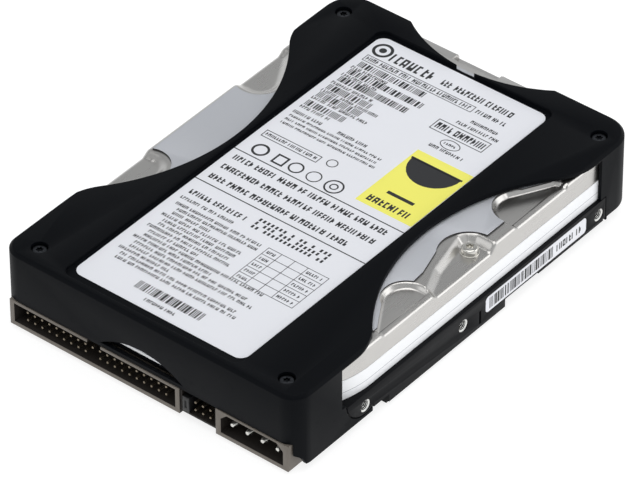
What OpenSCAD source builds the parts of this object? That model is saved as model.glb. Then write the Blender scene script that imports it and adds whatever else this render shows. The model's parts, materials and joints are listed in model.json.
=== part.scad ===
// 3.5-inch hard disk drive with a rubber shock jacket, as an assembly of its separate pieces.
// Units mm. +Z up, X across the width, Y along the length, connectors at the -Y end.
// Origin at the middle of the bottom face.

/* [Overall] */
// length between the connector rims and the rear of the jacket
length = 147.0; // [140:0.5:150]
// width over the mounting rails
width = 101.6; // [98:0.1:104]
// height from the rail bottoms to the top of the jacket
height = 26.1; // [25:0.1:42]

/* [Mounting holes] */
// radius of every tapped mounting hole (6-32 tap drill)
tap_r = 1.35; // [1:0.05:2]
// depth of every tapped mounting hole
tap_depth = 3.8; // [2:0.1:5]
// height of the side hole row
side_hole_z = 6.35; // [5:0.05:8]
// distance of side hole 1 from the connector end
side_hole_1 = 28.5; // [20:0.5:40]
// distance of side hole 2 from the connector end
side_hole_2 = 70.1; // [50:0.1:90]
// distance of side hole 3 from the connector end
side_hole_3 = 130.1; // [110:0.1:140]
// distance of the first bottom row from the connector end
bottom_row_1 = 41.28; // [35:0.01:50]
// spacing of the two bottom rows
bottom_rows = 44.45; // [30:0.05:60]
// spacing of the bottom holes across the width
bottom_span = 95.25; // [90:0.05:98]

/* [Case] */
// thickness of the casting side walls
wall_t = 1.6; // [1:0.1:3]
// thickness of the casting floor
floor_t = 2.0; // [1.4:0.1:2.8]
// thickness of the cover sheet
cover_t = 1.0; // [0.6:0.1:1.5]
// height of the mounting rails
rail_h = 10.6; // [9:0.1:12]
// width of each mounting rail
rail_w = 6.3; // [5:0.1:8]
// plan radius of the two front corners of the sealed case
front_r = 30; // [20:1:34]
// height of the seam between casting and cover
seam_z = 13.2; // [12.6:0.1:13.6]
// thickness of the seam gasket
gasket_t = 0.6; // [0.3:0.1:1]

/* [Jacket] */
// thickness of the jacket side walls
jacket_t = 1.1; // [0.8:0.1:1.15]
// thickness of the jacket top
jacket_top = 1.75; // [1.2:0.05:2.2]
// radius of the side cut-outs that bare the cover
side_cut_r = 64; // [50:1:90]
// radius that eases each side cut-out into the side wall
side_blend_r = 18; // [4:1:24]
// reach of the side cut-outs inward from the side
side_cut_in = 18.2; // [8:0.2:19]
// radius of the rear cut-out
rear_cut_r = 44.5; // [35:0.5:60]
// reach of the rear cut-out
rear_cut_in = 8.6; // [4:0.2:10]
// plan radius of the front corners
jacket_front_r = 6; // [3:0.5:9]
// plan radius of the rear corners
jacket_rear_r = 9; // [6:0.5:10]

/* [Labels] */
// width of the main label
label_w = 58.5; // [40:0.5:60]
// length of the main label
label_l = 131.5; // [90:0.5:134]
// label film thickness
label_t = 0.1; // [0.05:0.05:0.2]
// length of the side label
side_label_l = 44.5; // [30:0.5:46]
// height of the side label
side_label_h = 5.2; // [4:0.1:5.6]

/* [Connectors] */
// pitch of the data and jumper pins
pin_pitch = 2.54; // [2:0.01:2.54]
// width of each square pin
pin_w = 0.64; // [0.5:0.02:0.7]
// height of the middle between the two pin rows
pin_mid_z = 5.7; // [5.4:0.1:6]
// width of the data shroud
data_w = 59.1; // [58.4:0.1:59.6]
// pitch of the power pins
power_pitch = 5.08; // [4.5:0.01:5.08]
// diameter of the power pins
power_pin_d = 2.1; // [1.8:0.1:2.3]
// travel of the jumper cap off its pins
cap_travel = 8; // [6:0.5:12]

/* [Disc and spindle] */
// spindle distance rearward of the middle
spindle_y = 22; // [18:0.5:22.4]
// disc diameter
disc_d = 95; // [80:0.5:95]
// disc thickness
disc_t = 1.27; // [0.8:0.01:1.6]
// disc bore diameter
disc_bore = 25; // [24:0.1:26]
// height of the disc underside
disc_z = 14.0; // [13.8:0.1:14.4]
// spindle shaft diameter
shaft_d = 4; // [3:0.1:4.4]
// running gap between shafts and bearings
run_gap = 0.03; // [0.01:0.01:0.08]

/* [Actuator] */
// pivot position across the width
pivot_x = 31; // [29:0.5:32]
// pivot position along the length
pivot_y = -26; // [-28:0.5:-24]
// distance from the pivot to the heads
arm_l = 48.5; // [46:0.5:49.5]
// direction of the parked arm
park_angle = 102.6; // [100:0.2:104]
// pivot shaft diameter
pivot_d = 5; // [4:0.1:5.4]
// outer radius of the voice coil
coil_r = 26; // [22:0.5:26.5]
// half of the coil's angular width
coil_half = 15; // [11:0.5:16]
// angle that the arm swings from its parked place
swing = 30; // [24:0.5:30]

/* [Board] */
// board thickness
board_t = 1.6; // [1:0.1:1.7]
// board width
board_w = 87; // [80:0.5:87.4]
// board length
board_l = 106; // [96:0.5:108]

/* [Hidden] */
$fn = 64;
hw = width/2;
yf = -length/2;             // connector end
yr = length/2;              // rear end
case_w = hw-1.4;            // half width of the sealed case
case_f = yf+2.5;            // front wall of the sealed case
case_b = yr-1.5;            // rear wall of the sealed case
jack_f = yf+0.2;            // front face of the jacket
jack_in = height-jacket_top;    // underside of the jacket top
jack_seat = jack_in-0.9;    // seat of the jacket screws
jack_head_r = 2.2;
cover_z = jack_in-0.55;     // top face of the cover
damp_t = 0.45;              // cover damper thickness
deck_b = 6.6;               // underside of the casting floor
deck_z = deck_b+floor_t;    // top of the casting floor
shelf_z = rail_h;           // underside of the front shelf
hole_y = [yf+side_hole_1, yf+side_hole_2, yf+side_hole_3];
row_y = [yf+bottom_row_1, yf+bottom_row_1+bottom_rows];
label_x = -1.0;             // middle of the main label
label_y = -2.1;
front_wall = yf+17.2;       // closes the deck behind the connectors
label_z = jack_in+0.4;      // face the main label lies on
cut_y = 3;                  // middle of the side cut-outs
mid_x = -2;                 // middle of the rear cut-out and of the front window
post_f = [hw-8.5, yf+6.6];  // front jacket screws
post_r = [hw-6.3, yr-9.2];  // rear jacket screws
cover_screw = [[hw-6.2, -40.5], [30, yf+9], [34.5, yr-7.5]];
board_z = 1.6;
board_y = yf+10.6;          // connector edge of the board
board_screw = [[38, board_y+12], [38, board_y+62], [37, board_y+board_l-5]];
disc_top = disc_z+disc_t;
hub_top = disc_top+2.7;
sr = shaft_d/2;
pr = pivot_d/2;
data_x0 = -47.9;            // left end of the data shroud
data_x1 = data_x0+data_w;   // right end of the data shroud
jump_x1 = 23.5;             // end of the jumper bay
pow_x1 = 48.0;              // end of the power shroud
pin_y = yf+0.9;             // pin tips
pin_x0 = (data_x0+data_x1)/2-9.5*pin_pitch;
jump_x0 = data_x1+2.1;      // first jumper column
pow_x0 = 36.0-1.5*power_pitch;
cap_w = pin_pitch-0.24;
latch_x = 3; latch_y = -47;
arm_up = disc_top+1.7;      // underside of the upper arm
arm_lo = disc_z-1.7;        // top of the lower arm
arm_t = 1.3;
rail_z = 3.6;               // underside of the rails between the pads
pad_end = 2.8;              // rail pad beyond the bottom holes
lug_z = side_hole_z+5.1;    // middle and radius of the lug round side hole 1
lug_r = 7.6;
edge_t = 0.9;               // slope round the top edge of the jacket
side_strip = 1.4;           // jacket left above the side openings
side_label_y = hole_y[2]-27.9;   // middle of the side label
chips_y = board_y+62.9;     // where the chip layout is centred
head_gap = 0.4;             // between a boss and the cut round it
shroud_z = 9.8;             // top of the connector housing
shelf_t = 1.6;              // thickness of the front shelf
shelf_b = front_wall+shelf_t;   // rear edge of the front shelf
port_at = [hw-6.3, 7.2];    // leak-test port
frame_half = coil_half+1.9; // half of the coil frame's angular width
park_side = park_angle+180+frame_half;      // frame edge against the parking stop
end_side = park_angle+180-frame_half-swing; // frame edge against the inner stop
stop_r = 1.4;
stop_gap = 0.8;             // angle between the frame and a stop
pillar_r = 1.3;             // yoke post radius
stop_d = [14.5, 17];        // distances of the two stops from the pivot
stop_at = [[stop_d[0], park_side+asin(stop_r/stop_d[0])+stop_gap],
  [stop_d[1], end_side-asin(stop_r/stop_d[1])-stop_gap]];
cable_r = 12.4;             // ribbon cable: radius, thickness, angles and edges
cable_t = 0.15;
cable_a = [167, 203];
cable_z = [disc_z-3.4, disc_z-0.4];
coil_band = 3.0;            // width of the coil winding
magnet_r0 = 13.4;           // inner radius of the magnets and yokes
yoke_r = 26.8;              // outer radius of the yokes
pillar_at = yoke_r-2.3;     // distance of the yoke posts from the pivot
pillar_a = asin(pillar_r/pillar_at);
post_at = [[pillar_at, end_side-pillar_a-1.2], [pillar_at, park_side+pillar_a+stop_gap]];
magnet_a = 29;              // angle that each magnet covers
ear_r = 2.1;                // yoke ear radius
yoke_up = cover_z-3.5;      // top of the upper yoke
yoke_t = 1.8;               // thickness of the upper yoke
blend_y = sqrt(pow(side_cut_r+side_blend_r, 2)-pow(side_cut_r-side_cut_in+side_blend_r, 2));
blend_k = side_cut_r/(side_cut_r+side_blend_r);

// ---- shared shapes ----
module box(x0, x1, y0, y1, z0, z1) { translate([x0, y0, z0]) cube([x1-x0, y1-y0, z1-z0]); }
module rod(x, y, z0, z1, r) { translate([x, y, z0]) cylinder(h = z1-z0, r = r); }
module ring(x, y, z0, z1, r0, r1) {
  difference() { rod(x, y, z0, z1, r1); rod(x, y, z0-1, z1+1, r0); }
}
module both() { children(); mirror([1, 0, 0]) children(); }
// rectangle with its own radius at the front and at the rear corners
module plate2(w, y0, y1, r0, r1) {
  union() {
    translate([-w, y0+r0]) square([2*w, y1-y0-r0-r1]);
    translate([-w+r0, y0]) square([2*w-2*r0, r0+1]);
    translate([-w+r1, y1-r1-1]) square([2*w-2*r1, r1+1]);
    for (s = [-1, 1]) {
      translate([s*(w-r0), y0+r0]) circle(r = r0);
      translate([s*(w-r1), y1-r1]) circle(r = r1);
    }
  }
}
module plate(w, y0, y1, r0, r1, z0, z1) {
  translate([0, 0, z0]) linear_extrude(height = z1-z0) plate2(w, y0, y1, r0, r1);
}
module rrect(x0, x1, y0, y1, r, z0, z1) {
  translate([(x0+x1)/2, 0, 0]) plate((x1-x0)/2, y0, y1, r, r, z0, z1);
}
// plan outline of the sealed case, drawn in by d
module case2(d) {
  difference() {
    plate2(case_w-d, case_f+d, case_b-d, front_r-d, 0.8);
    for (s = [-1, 1]) {
      translate([s*post_r[0], post_r[1]]) circle(r = 6.5+d);
      translate([s > 0 ? post_r[0]-6.5-d : -post_r[0]-20, post_r[1]]) square([26.5+d, 30]);
      translate([s > 0 ? post_r[0] : -post_r[0]-30, post_r[1]-6.5-d]) square([30, 30]);
    }
  }
}
module case(d, z0, z1) { translate([0, 0, z0]) linear_extrude(height = z1-z0) case2(d); }
// recesses pressed into the cover top
module pocket_front2() {
  translate([hw-5.8, -20.6]) circle(r = 6.4);
  translate([hw-5.8, -27]) square([3.4, 12.8]);
  polygon([[hw-11.8, -22.8], [hw-3.9, -35.4], [hw-2.4, -35.9], [hw-2.4, -20], [hw-5.8, -18]]);
}
module pocket_rear2() {
  translate([hw-5.8, 28.4]) circle(r = 6.9);
  translate([hw-5.8, 21.5]) square([3.4, 22]);
  polygon([[hw-12.5, 30], [hw-5, 43.6], [hw-2.4, 43.6], [hw-2.4, 27], [hw-5.8, 26]]);
}
module pocket_port2() {
  translate([hw-7.6, 8.4]) circle(r = 3.1);
  translate([hw-7.6, 1]) square([9, 10.5]);
  polygon([[hw-10.7, 8.4], [hw-7.4, -6], [hw-4.3, -13.5], [hw+1, -14.2], [hw+1, 10], [hw-7, 10]]);
}
module slab(z0, z1) { translate([0, 0, z0]) linear_extrude(height = z1-z0) children(); }
// flat piece between two angles about the pivot
module sector2(r0, r1, a0, a1) {
  intersection() {
    difference() { circle(r = r1); circle(r = r0); }
    polygon([[0, 0], [60*cos(a0), 60*sin(a0)], [60*cos((2*a0+a1)/3), 60*sin((2*a0+a1)/3)],
      [60*cos((a0+2*a1)/3), 60*sin((a0+2*a1)/3)], [60*cos(a1), 60*sin(a1)]]);
  }
}
module sector(r0, r1, a0, a1, z0, z1) {
  translate([pivot_x, pivot_y, z0]) linear_extrude(height = z1-z0) sector2(r0, r1, a0, a1);
}
module on_arm() { translate([pivot_x, pivot_y, 0]) rotate([0, 0, park_angle]) children(); }
module screw_pan(x, y, z, head_r, head_h, r, l) {
  difference() {
    union() { rod(x, y, z, z+head_h, head_r); rod(x, y, z-l, z+0.01, r); }
    translate([x, y, z+head_h-0.7]) cylinder(h = 1, r = head_r*0.45, $fn = 6);
  }
}

// ---- sealed case ----
// cast aluminium base: deck, side walls, mounting rails, front shelf and corner ears
// mounting rails, with a pad round the bottom holes and a lug round side hole 1
module rails() both() {
  box(hw-rail_w, hw, hole_y[0]+3.6, hole_y[2]+3, rail_z, rail_h);
  box(hw-rail_w, hw-1.5, hole_y[0]-4.2, hole_y[0]+4, rail_z, rail_h);
  intersection() {
    box(hw-rail_w, hw, hole_y[0]-8, hole_y[0]+4, rail_z, rail_h);
    translate([hw-rail_w, hole_y[0], lug_z]) rotate([0, 90, 0]) cylinder(h = 9, r = lug_r);
  }
  box(hw-rail_w, hw, row_y[0]-pad_end, row_y[1]+pad_end, 1, rail_h);
  box(hw-rail_w, hw-1, row_y[0]-pad_end, row_y[1]+pad_end, 0, 2);
  box(hw-rail_w, hw-0.6, hole_y[2]-26.1, hole_y[2]+3, 2.2, rail_h);
}
module base_casting() color([0.22, 0.23, 0.24]) difference() {
  union() {
    difference() {
      union() {
        case(0, deck_b, seam_z);
        rails();
        plate(case_w, yr-24, case_b, 1, 7, deck_b, deck_b+2.4);
      }
      case(wall_t, deck_z, seam_z+1);
      box(-hw, hw, yf, front_wall, 0, shelf_z);
    }
    plate(case_w, case_f, shelf_b, jacket_front_r, 1, shelf_z, shelf_z+shelf_t);
    intersection() {
      case(0.2, deck_b, shelf_z+shelf_t);
      box(-hw, hw, front_wall, shelf_b, deck_b, shelf_z+shelf_t);
    }
    both() {
      rod(post_f[0], post_f[1], shelf_z, jack_in-3.4, 3.4);
      rod(post_r[0], post_r[1], deck_b, jack_in-3.4, 3.4);
      rod(cover_screw[0][0], cover_screw[0][1], deck_z-0.5, cover_z-3.4, 2.5);
      rod(cover_screw[1][0], cover_screw[1][1], shelf_z+0.5, cover_z-3.4, 2.5);
      rod(cover_screw[2][0], cover_screw[2][1], deck_z-0.5, cover_z-3.4, 2.5);
      for (p = board_screw) rod(p[0], p[1], board_z+board_t, deck_b+0.5, 2.6);
    }
  }
  rod(0, spindle_y, 0, 20, 18.2);
  for (s = [-1, 1], y = hole_y) translate([s*(hw-tap_depth), y, side_hole_z]) rotate([0, s*90, 0])
    cylinder(h = tap_depth+1, r = tap_r);
  for (s = [-1, 1], y = hole_y) translate([s*(hw-0.4), y, side_hole_z]) rotate([0, s*90, 0])
    cylinder(h = 1, r = tap_r+0.55);
  for (s = [-1, 1], y = row_y) rod(s*bottom_span/2, y, -1, tap_depth, tap_r);
  both() {
    box(hw-1.2, hw+1, hole_y[1]+7, hole_y[1]+7.8, 2.2, 6.6);
    rod(post_f[0], post_f[1], jack_in-10, jack_in, 1.2);
    rod(post_r[0], post_r[1], jack_in-10, jack_in, 1.2);
    for (p = cover_screw) rod(p[0], p[1], cover_z-9, cover_z, 1.1);
    for (p = board_screw) rod(p[0], p[1], 0, deck_b+0.3, 1.1);
  }
  box(pivot_x-16.5, pivot_x-12.1, pivot_y-7.5, pivot_y-4.5, 5, deck_z+1);
  side_label_shape(label_t, 0.1);
}
// drawn stainless cover with its pressed pockets
module top_cover() color([0.78, 0.77, 0.75]) difference() {
  union() {
    difference() {
      case(0, seam_z+gasket_t, cover_z-1);
      case(cover_t, seam_z, cover_z-cover_t-0.2);
    }
    case(0.35, cover_z-1.01, cover_z-0.5);
    case(1.0, cover_z-0.51, cover_z);
    intersection() {
      case(0.2, cover_z-4.2, cover_z);
      union() {
        both() slab(cover_z-2.5, cover_z-0.5) pocket_front2();
        both() slab(cover_z-2.5, cover_z-0.5) pocket_rear2();
        slab(cover_z-3.3, cover_z-0.5) pocket_port2();
        both() for (p = cover_screw) rod(p[0], p[1], cover_z-3.4, cover_z-0.5, 4.2);
        box(mid_x-8.5, mid_x+9, case_b-4.2, case_b-0.3, cover_z-2.9, cover_z-0.5);
      }
    }
  }
  both() slab(cover_z-1.5, cover_z+1) pocket_front2();
  both() slab(cover_z-1.5, cover_z+1) pocket_rear2();
  slab(cover_z-2.3, cover_z+1) pocket_port2();
  both() for (p = cover_screw) {
    rod(p[0], p[1], cover_z-2.4, cover_z+1, 3.2);
    rod(p[0], p[1], cover_z-5, cover_z+1, 1.4);
  }
  box(mid_x-7.5, mid_x+8, case_b-3.2, case_b+2, cover_z-1.9, cover_z+1);
  rod(port_at[0], port_at[1], cover_z-6, cover_z, 1.5);
}
module cover_gasket() color([0.1, 0.1, 0.1]) difference() {
  case(0.1, seam_z, seam_z+gasket_t);
  case(1.0, seam_z-1, seam_z+2);
}
// constrained-layer plate bonded on the cover
module cover_damper() color([0.76, 0.76, 0.79]) difference() {
  translate([0, 0, cover_z]) linear_extrude(height = damp_t)
    plate2(hw-2.9, -44, case_b-5.6, 6, 12);
  both() {
    slab(cover_z-1, cover_z+2) { pocket_front2(); pocket_rear2(); }
    rod(hw-5.8, -20.6, cover_z-1, cover_z+2, 7.1);
    rod(hw-5.8, 28.4, cover_z-1, cover_z+2, 7.6);
    box(hw-4.2, hw, -46, -16, cover_z-1, cover_z+2);
    box(hw-4.2, hw, 24, 60, cover_z-1, cover_z+2);
    for (p = cover_screw) rod(p[0], p[1], cover_z-1, cover_z+2, 4.4);
    rod(post_r[0], post_r[1], cover_z-1, cover_z+2, 4.2+head_gap);
  }
  box(hw-5.2, hw, -20, 24, cover_z-1, cover_z+2);
  rod(hw-4.3, 4.5, cover_z-1, cover_z+2, 8.9);
  slab(cover_z-1, cover_z+2) polygon([[hw-11.9, 0.5], [hw-9, -9.5], [hw-8.6, -14], [hw, -14], [hw, 5]]);
}
module cover_screws() color([0.6, 0.6, 0.6]) both()
  for (p = cover_screw) screw_pan(p[0], p[1], cover_z-2.4, 2.2, 1.9, 1.1, 6);
// screw with a collar that closes the leak-test port in the cover
module port_screw() color([0.8, 0.8, 0.78]) union() {
  screw_pan(port_at[0], port_at[1], cover_z-1.8, 2.35, 1.7, 1.25, 3.6);
  ring(port_at[0], port_at[1], cover_z-2.3, cover_z-1.79, 1.2, 2.7);
}
module port_nut() color([0.7, 0.7, 0.68]) ring(port_at[0], port_at[1], cover_z-5.2, cover_z-3.3, 1.25, 2.6);
// white film sealing the seam all round
module seam_tape() color([0.92, 0.93, 0.94]) difference() {
  case(-0.12, rail_h+0.05, rail_h+6.5);
  case(0, rail_h-1, rail_h+8);
  plate(case_w+1, case_f-1, shelf_b+0.2, 1, 1, rail_h-1, shelf_z+shelf_t+0.02);
}

// ---- jacket ----
// plate whose top edge slopes in by its own height
module sloped_plate(w, y0, y1, r0, r1, z0, z1) {
  f = z1-z0;
  translate([0, y1-r1, 0]) rotate([90, 0, 0]) linear_extrude(height = y1-r1-y0-r0)
    polygon([[-w, z0], [w, z0], [w-f, z1], [-w+f, z1]]);
  translate([-w+r0, 0, 0]) rotate([90, 0, 90]) linear_extrude(height = 2*(w-r0))
    polygon([[y0, z0], [y0+r0+2, z0], [y0+r0+2, z1], [y0+f, z1]]);
  translate([-w+r1, 0, 0]) rotate([90, 0, 90]) linear_extrude(height = 2*(w-r1))
    polygon([[y1-r1-2, z0], [y1, z0], [y1-f, z1], [y1-r1-2, z1]]);
  for (s = [-1, 1]) {
    translate([s*(w-r0), y0+r0, z0]) cylinder(h = f, r1 = r0, r2 = r0-f);
    translate([s*(w-r1), y1-r1, z0]) cylinder(h = f, r1 = r1, r2 = r1-f);
  }
}
module side_arc2() {
  cx = hw-side_cut_in+side_cut_r;
  tx = cx-blend_k*(side_cut_r-side_cut_in+side_blend_r);
  translate([cx, cut_y]) circle(r = side_cut_r, $fn = 96);
  for (s = [-1, 1]) translate([0, cut_y]) difference() {
    polygon([[tx, s*blend_k*blend_y], [hw+4, s*blend_k*blend_y], [hw+4, s*blend_y], [hw, s*blend_y]]);
    translate([hw-side_blend_r, s*blend_y]) circle(r = side_blend_r, $fn = 96);
  }
}
module side_arc(z0, z1) { both() slab(z0, z1) side_arc2(); }
// soft black jacket moulded round the case, open where the cover and the rails show
module shock_jacket() color([0.09, 0.09, 0.1]) difference() {
  union() {
    difference() {
      plate(hw, jack_f, yr, jacket_front_r, jacket_rear_r, 2.5, height-edge_t);
      plate(hw-jacket_t, jack_f+1.3, yr-1.2, jacket_front_r-1.2, jacket_rear_r-1.2, 0, jack_in);
    }
    sloped_plate(hw, jack_f, yr, jacket_front_r, jacket_rear_r, height-edge_t, height);
    both() rod(post_f[0], post_f[1], jack_in-3.4, jack_in+0.5, 4.2);
    both() rod(post_r[0], post_r[1], jack_in-3.4, jack_in+0.5, 4.2);
  }
  // bays for the connectors and the rails
  box(-hw+2.4, hw-2.4, yf-1, yf+6, 0, shroud_z+0.1);
  box(-hw-1, hw+1, hole_y[0]+3.2, hole_y[2]+3.3, 0, rail_h+0.3);
  box(-hw-1, hw+1, hole_y[0]+3.2, hole_y[2]+0.8, rail_h, height-side_strip);
  box(-hw-1, hw+1, hole_y[0]-9.6, hole_y[0]+4, lug_z, height-side_strip);
  both() translate([hw-3, hole_y[0], lug_z]) rotate([0, 90, 0]) cylinder(h = 6, r = lug_r+head_gap);
  both() translate([hw-3, yf-1, 1]) rotate([0, 90, 0]) cylinder(h = 6, r = 5.6);
  box(-30, 30, yr-6, yr+1, 0, rail_h);
  box(-hw-1, hw+1, yr-13, yr+1, 0, 3.4);
  // bared cover and label recess
  side_arc(8, height+1);
  rod(mid_x, yr-rear_cut_in+rear_cut_r, 16, height+1, rear_cut_r, $fn = 96);
  rrect(label_x-30.4, label_x+30.4, yf+2.5, yr-8.5, 3, label_z, height+1);
  // crescent window in the front wall
  intersection() {
    translate([mid_x, yf+4, rail_h-19.4]) rotate([90, 0, 0]) cylinder(h = 8, r = 24.5, $fn = 96);
    box(-30, 30, yf-1, yf+4, rail_h+0.6, rail_h+10);
  }
  both() for (p = [post_f, post_r]) {
    rod(p[0], p[1], jack_seat, height+1, jack_head_r+0.2);
    rod(p[0], p[1], jack_in-5, height+1, 1.5);
  }
}
module jacket_screws() color([0.25, 0.25, 0.26]) both() for (p = [post_f, post_r])
  screw_pan(p[0], p[1], jack_seat, jack_head_r, 1.9, 1.2, 7.2);
module side_label_shape(t, grow) {
  translate([hw-t, side_label_y, side_hole_z+0.35]) rotate([90, 0, 90])
    rrect(-side_label_l/2-grow, side_label_l/2+grow, -side_label_h/2-grow, side_label_h/2+grow, 1.2,
      0, t+10*grow);
}
module main_label() color([0.92, 0.92, 0.93])
  rrect(label_x-label_w/2, label_x+label_w/2, label_y-label_l/2, label_y+label_l/2, 3,
    label_z, label_z+label_t);
module side_label() color([0.92, 0.92, 0.93]) side_label_shape(label_t, 0);

// ---- connectors ----
module connector_housing() color([0.42, 0.4, 0.38]) difference() {
  union() {
    box(data_x0, data_x1, yf, yf+10, 1.4, shroud_z);
    box(data_x1-0.1, jump_x1+0.1, yf+0.4, yf+10, 2.4, shroud_z-0.2);
    box(jump_x1, pow_x1, yf, yf+12.6, 1.2, shroud_z);
  }
  box(data_x0+1.5, data_x1-1.5, yf-1, yf+7.4, 2.7, 8.9);
  box((data_x0+data_x1)/2-2.3, (data_x0+data_x1)/2+2.3, yf-1, yf+7.4, 8.8, 11);
  box(data_x1+0.6, jump_x1-0.5, yf-1, yf+6.6, 3.0, 11);
  box(jump_x1-1, pow_x1+1, yf+10.4, yf+13, 0, 3.4);
  translate([0, yf+9.2, 0]) rotate([90, 0, 0]) linear_extrude(height = 10.2)
    polygon([[jump_x1+1.7, 2.5], [pow_x1-1.8, 2.5], [pow_x1-1.8, shroud_z-2.6], [pow_x1-4, shroud_z-0.7],
      [jump_x1+3.7, shroud_z-0.7], [jump_x1+1.7, shroud_z-2.6]]);
  for (i = [0:19], r = [0, 1]) if (!(i == 9 && r == 0))
    translate([pin_x0+i*pin_pitch, yf+8, pin_mid_z+(r-0.5)*pin_pitch])
      cube([pin_w, 6, pin_w], center = true);
  for (i = [0:3], r = [0, 1])
    translate([jump_x0+i*pin_pitch, yf+8, pin_mid_z+(r-0.5)*pin_pitch]) cube([pin_w, 8, pin_w], center = true);
  for (i = [0:3]) translate([pow_x0+i*power_pitch, yf+16, 6]) rotate([90, 0, 0])
    cylinder(h = 8, r = power_pin_d/2-0.35);
}
// right-angle pin: straight run, then down through the board
module bent_pin(x, z, y1) {
  translate([x-pin_w/2, pin_y, z-pin_w/2]) cube([pin_w, y1-pin_y, pin_w]);
  translate([x-pin_w/2, y1-pin_w, 1.3]) cube([pin_w, pin_w, z-1.3+pin_w/2]);
}
module data_pins() color([0.85, 0.78, 0.55])
  for (i = [0:19], r = [0, 1]) if (!(i == 9 && r == 0))
    bent_pin(pin_x0+i*pin_pitch, pin_mid_z+(r-0.5)*pin_pitch, yf+12.2+r*pin_pitch);
module jumper_pins() color([0.85, 0.78, 0.55])
  for (i = [0:3], r = [0, 1])
    bent_pin(jump_x0+i*pin_pitch, pin_mid_z+(r-0.5)*pin_pitch, yf+12.2+r*pin_pitch);
module power_pins() color([0.82, 0.82, 0.8]) for (i = [0:3]) {
  x = pow_x0+i*power_pitch;
  translate([x, yf+9.2, 6]) rotate([90, 0, 0]) cylinder(h = 7, r = power_pin_d/2);
  translate([x, yf+2.2, 6]) rotate([90, 0, 0]) cylinder(h = 1.3, r1 = power_pin_d/2, r2 = power_pin_d/4);
  translate([x, yf+16, 6]) rotate([90, 0, 0]) cylinder(h = 7, r = power_pin_d/2-0.35);
  rod(x, yf+16, 1.3, 6.6, power_pin_d/2-0.35);
}
module jumper_cap() color([0.08, 0.08, 0.08]) difference() {
  box(jump_x0-cap_w/2, jump_x0+cap_w/2, yf, yf+6.2, pin_mid_z-2.4, pin_mid_z+2.4);
  box(jump_x0-0.6, jump_x0+0.6, yf+0.6, yf+7, pin_mid_z-1.95, pin_mid_z+1.95);
  box(jump_x0-0.35, jump_x0+0.35, yf-1, yf+0.4, pin_mid_z-1.2, pin_mid_z+1.2);
}
module jumper_contact() color([0.8, 0.7, 0.45]) union() {
  box(jump_x0-0.55, jump_x0+0.55, yf+0.65, yf+0.8, pin_mid_z-1.9, pin_mid_z+1.9);
  for (s = [-1, 1]) translate([jump_x0+s*0.475, yf+3.3, pin_mid_z]) cube([0.15, 5.3, 3.8], center = true);
}

// ---- circuit board ----
module board_holes(r, z0, z1) {
  rod(0, spindle_y, z0, z1, 16);
  both() for (p = board_screw) rod(p[0], p[1], z0, z1, r);
}
module circuit_board() color([0.1, 0.3, 0.16]) difference() {
  rrect(-board_w/2, board_w/2, board_y, board_y+board_l, 2, board_z, board_z+board_t);
  board_holes(1.3, board_z-1, board_z+board_t+1);
  for (r = [0, 1]) {
    for (i = [0:19]) if (!(i == 9 && r == 0))
      translate([pin_x0+i*pin_pitch, yf+12.2+r*pin_pitch-pin_w/2, board_z+1])
        cube([pin_w+0.1, pin_w+0.1, 5], center = true);
    for (i = [0:3])
      translate([jump_x0+i*pin_pitch, yf+12.2+r*pin_pitch-pin_w/2, board_z+1])
        cube([pin_w+0.1, pin_w+0.1, 5], center = true);
  }
  for (i = [0:3]) rod(pow_x0+i*power_pitch, yf+16, board_z-1, board_z+3, power_pin_d/2-0.3);
}
module board_insulator() color([0.15, 0.15, 0.16]) difference() {
  rrect(-board_w/2+2, board_w/2-2, front_wall+2, board_y+board_l-2, 2, board_z-0.4, board_z);
  board_holes(1.5, 0, board_z+1);
}
// pressed steel sheet over the underside of the board
module board_shield() color([0.7, 0.7, 0.69]) difference() {
  rrect(-board_w/2-0.2, board_w/2+0.2, front_wall+1.8, board_y+board_l+2, 3, board_z-0.9, board_z-0.4);
  board_holes(1.3, 0, board_z);
  for (i = [-2:2]) rrect(i*12-4, i*12+4, front_wall+5, front_wall+7.2, 1, 0, board_z);
}
module board_screws() color([0.7, 0.7, 0.68]) both() for (p = board_screw)
  difference() {
    union() {
      rod(p[0], p[1], 0.05, board_z-0.9, 2.1);
      rod(p[0], p[1], 0.5, deck_b-0.1, 1.1);
    }
    translate([p[0], p[1], -0.5]) cylinder(h = 1, r = 1.0, $fn = 6);
  }
// flat chip with leads along two or four sides
module chip(x, y, w, l, h, n, four) {
  z = board_z+board_t;
  box(x-w/2, x+w/2, y-l/2, y+l/2, z+0.1, z+h);
  for (i = [0:n-1]) {
    a = (i-(n-1)/2)*(l-1.5)/(n-1);
    b = (i-(n-1)/2)*(w-1.5)/(n-1);
    for (s = [-1, 1]) {
      translate([x+s*(w/2+0.4), y+a, z+0.15]) cube([1.2, 0.4, 0.3], center = true);
      if (four) translate([x+b, y+s*(l/2+0.4), z+0.15]) cube([0.4, 1.2, 0.3], center = true);
    }
  }
}
module controller_chip() color([0.07, 0.07, 0.08]) chip(-14, chips_y-36, 20, 20, 1.6, 16, true);
module buffer_chip() color([0.07, 0.07, 0.08]) chip(-29, chips_y-8, 10, 18, 1.1, 12, false);
module motor_driver_chip() color([0.07, 0.07, 0.08]) chip(27, chips_y-20, 10, 10, 1.4, 9, true);
module clock_crystal() color([0.75, 0.75, 0.76]) translate([0, chips_y, 0]) union() {
  z = board_z+board_t;
  rrect(-1, 10, -16, -11.5, 2.2, z, z+1.8);
  rrect(-1.5, 10.5, -16.4, -11.1, 2.5, z, z+0.4);
}
module capacitors() color([0.6, 0.5, 0.35]) translate([0, chips_y, 0]) {
  z = board_z+board_t;
  for (i = [0:5]) box(-33.5+i*5, -30.9+i*5, -52, -50.4, z, z+1.2);
  for (i = [0:3]) box(26, 29.2, -50+i*5, -48+i*5, z, z+1.9);
  for (i = [0:4]) box(-38, -36, 10+i*5, 11.2+i*5, z, z+0.9);
}
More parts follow.
